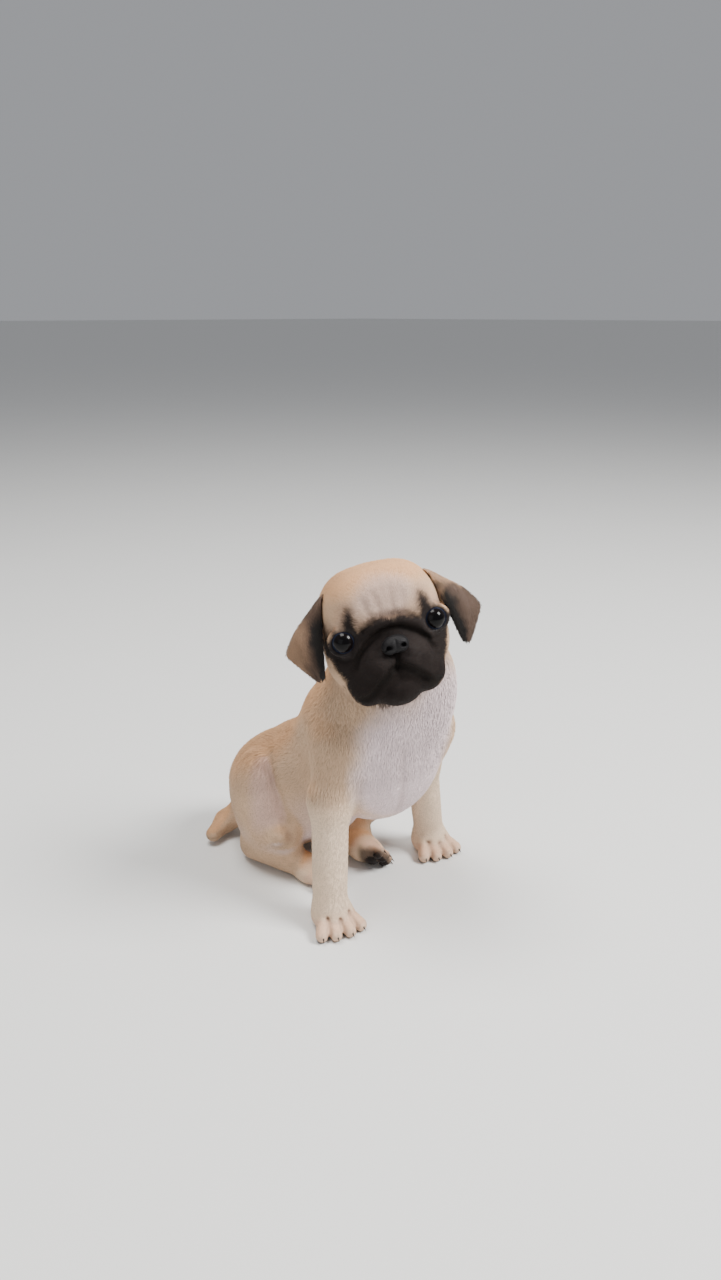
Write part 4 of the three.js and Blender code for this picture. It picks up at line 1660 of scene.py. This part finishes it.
@dataclass
class Nose:
    """The nose leather with its two nostrils."""

    bench: Bench
    cell: float = 0.42

    def half(self, local: np.ndarray) -> np.ndarray:
        """The left half's field: rounded leather, a comma-shaped nostril and a line down the middle."""
        wing = ball((3.6, -12.8, -6.9), (3.4, 3.6, 3.6))
        leather = melt(2.5, ball((0, -12.5, -5.8), (6.2, 4.2, 4.6)), wing)(local)
        hole = ball((3.6, -16.2, -6.7), (1.35, 2.8, 1.05), (-28, 0, -20))(local)
        slit = limb((4.2, -16.0, -7.4), (6.6, -14.2, -8.2), 0.5, 0.35)(local)
        middle = Crease(((0, -16.4, -3.5), (0, -16.9, -6), (0, -16.2, -10.4)), 0.55, 0.55).lift(local)
        return -join(-(leather + middle), join(hole, slit, 0.8), 0.6)

    def build(self) -> bpy.types.Object:
        """Makes the nose."""
        centre = FACE.out(np.float32([[0, -12.5, -6]]))[0]
        axes = [np.arange(c - 12, c + 12, self.cell, dtype=np.float32) for c in centre]
        points, quads = surface_of(mirrored(self.half), axes)
        local = folded(points)
        # Painted shade inside the nostrils
        pit = step(0.7, -0.2, ball((3.6, -15.4, -6.7), (1.35, 2.8, 1.05), (-28, 0, -20))(local))
        obj = self.bench.piece("nose_leather", points, quads, {"pit": pit})
        obj.data.materials.append(NoseFinish().dress())
        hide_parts("nose")
        return obj


@dataclass
class Claws:
    """A short dark claw out of the end of each toe."""

    bench: Bench
    forms: Forms
    length: float = 3.9
    radius: float = 1.15
    rows: int = 9
    around: int = 12

    def one(self, paw: Paw, share: float) -> tuple[np.ndarray, np.ndarray, np.ndarray]:
        """One claw in its paw's frame: points, faces and how far along each point is."""
        rise = np.linspace(0, 1, self.rows)
        turn = np.linspace(0, 2 * math.pi, self.around, endpoint=False)
        along, angle = (grid.ravel() for grid in np.meshgrid(rise, turn, indexing="ij"))
        thick = self.radius * paw.scale * np.sqrt(np.clip(1 - along, 0.002, 1)) * (1 - 0.35 * along)
        droop = 0.3 - 2.2 * along * along
        points = np.stack(
            [thick * np.cos(angle) * 0.8, -along * self.length, thick * np.sin(angle) + droop], 1
        )
        spin = share * 0.25
        cs, sn = math.cos(spin), math.sin(spin)
        points = points @ np.array([[cs, sn, 0], [-sn, cs, 0], [0, 0, 1]])
        x, y, z = paw.tip(share)
        points = points + np.array([x * 1.02, y - 1.6 * paw.scale, z + 0.6])
        grid = np.arange(len(points)).reshape(self.rows, self.around)
        right = np.roll(grid, -1, 1)
        quads = np.stack([grid[:-1], grid[1:], right[1:], right[:-1]], -1).reshape(-1, 4)
        return points.astype(np.float32), quads, along

    def build(self) -> bpy.types.Object:
        """Makes all sixteen claws as one piece."""
        points, faces, reaches, total = [], [], [], 0
        for place, paw in self.forms.paws():
            for share in paw.toes:
                spots, quads, along = self.one(paw, share)
                points.append(place.out(spots))
                faces.append(quads + total)
                reaches.append(along)
                total += len(spots)
        spots = np.concatenate(points)
        spots[:, 2] = np.maximum(spots[:, 2], 0.1)
        obj = self.bench.piece("claws", spots, np.concatenate(faces), {"reach": np.concatenate(reaches)})
        obj.data.materials.append(ClawFinish().dress())
        return obj


@dataclass(frozen=True)
class Lamp:
    """One soft lamp, aimed at the puppy."""

    name: str
    at: Vec
    size: float
    watts: float
    colour: Colour = (1.0, 1.0, 1.0)


@dataclass
class Studio:
    """Floor, lamps and the camera at the photo's angle."""

    bench: Bench
    camera_at: Vec = (-346.48, -367.70, 345.0)
    down: float = 20.0
    heading: float = -45.0
    lens: float = 25.3125
    lamps: tuple[Lamp, ...] = (
        Lamp("key", (0.5, -1.0, 1.3), 0.6, 46.0, (1.0, 0.99, 0.97)),
        Lamp("top", (-0.25, 0.2, 1.6), 0.7, 24.0, (1.0, 0.98, 0.95)),
        Lamp("side", (-1.3, -0.3, 0.6), 1.0, 2.5, (0.95, 0.97, 1.0)),
    )

    def aim(self, obj: bpy.types.Object, at: Vec, target: Vec = (0.0, 0.0, 0.1)) -> None:
        """Turns an object to look at a point."""
        away = np.array(at) - np.array(target)
        flat = math.hypot(away[0], away[1])
        obj.location = at
        obj.rotation_euler = (math.atan2(flat, away[2]), 0.0, math.atan2(away[0], -away[1]))

    def build(self) -> None:
        """Sets up the floor, the lamps, the world and the camera."""
        mesh = bpy.data.meshes.new("floor")
        reach = 40.0
        corners = [(-reach, -reach, 0), (reach, -reach, 0), (reach, reach, 0), (-reach, reach, 0)]
        mesh.from_pydata(corners, [], [(0, 1, 2, 3)])
        floor = bpy.data.objects.new("floor", mesh)
        bpy.context.scene.collection.objects.link(floor)
        mesh.materials.append(FloorFinish().dress())
        for lamp in self.lamps:
            light = bpy.data.lights.new(lamp.name, "AREA")
            light.energy, light.size, light.color = lamp.watts, lamp.size, lamp.colour
            obj = bpy.data.objects.new(lamp.name, light)
            bpy.context.scene.collection.objects.link(obj)
            self.aim(obj, lamp.at)
        world = bpy.data.worlds.new("studio")
        world.use_nodes = True
        back = world.node_tree.nodes["Background"]
        back.inputs["Color"].default_value = (0.93, 0.95, 1.0, 1.0)
        back.inputs["Strength"].default_value = 0.38
        bpy.context.scene.world = world
        camera = bpy.data.cameras.new("camera")
        camera.sensor_fit = "AUTO"
        camera.sensor_width = 36.0
        camera.lens = self.lens
        camera.clip_start = 0.01
        obj = bpy.data.objects.new("camera", camera)
        bpy.context.scene.collection.objects.link(obj)
        obj.location = self.bench.metres(np.float32([self.camera_at]))[0].tolist()
        obj.rotation_euler = (math.radians(90 - self.down), 0.0, math.radians(self.heading))
        bpy.context.scene.camera = obj


def main() -> None:
    """Builds the puppy piece by piece, then the studio."""
    logging.basicConfig(level=logging.INFO, format="%(name)s: %(message)s")
    bench = Bench()
    LOG.info("drawing sits %s mm from the row's origin", bench.shift.round(2))
    forms = Forms()
    body = Body(forms)
    markings = Markings(forms, body)
    skin = Skin(bench, body, markings)
    LOG.info("made %s", skin.build().name)
    for piece in Coat(bench, skin, markings, Lie(forms)).build():
        LOG.info("made %s", piece.name)
    for side in Side:
        for piece in Ear(bench, side).build():
            LOG.info("made %s", piece.name)
        LOG.info("made %s", Eye(bench, side, body).build().name)
    LOG.info("made %s", Nose(bench).build().name)
    LOG.info("made %s", Claws(bench, forms).build().name)
    Studio(bench).build()


if __name__ == "__main__":
    main()
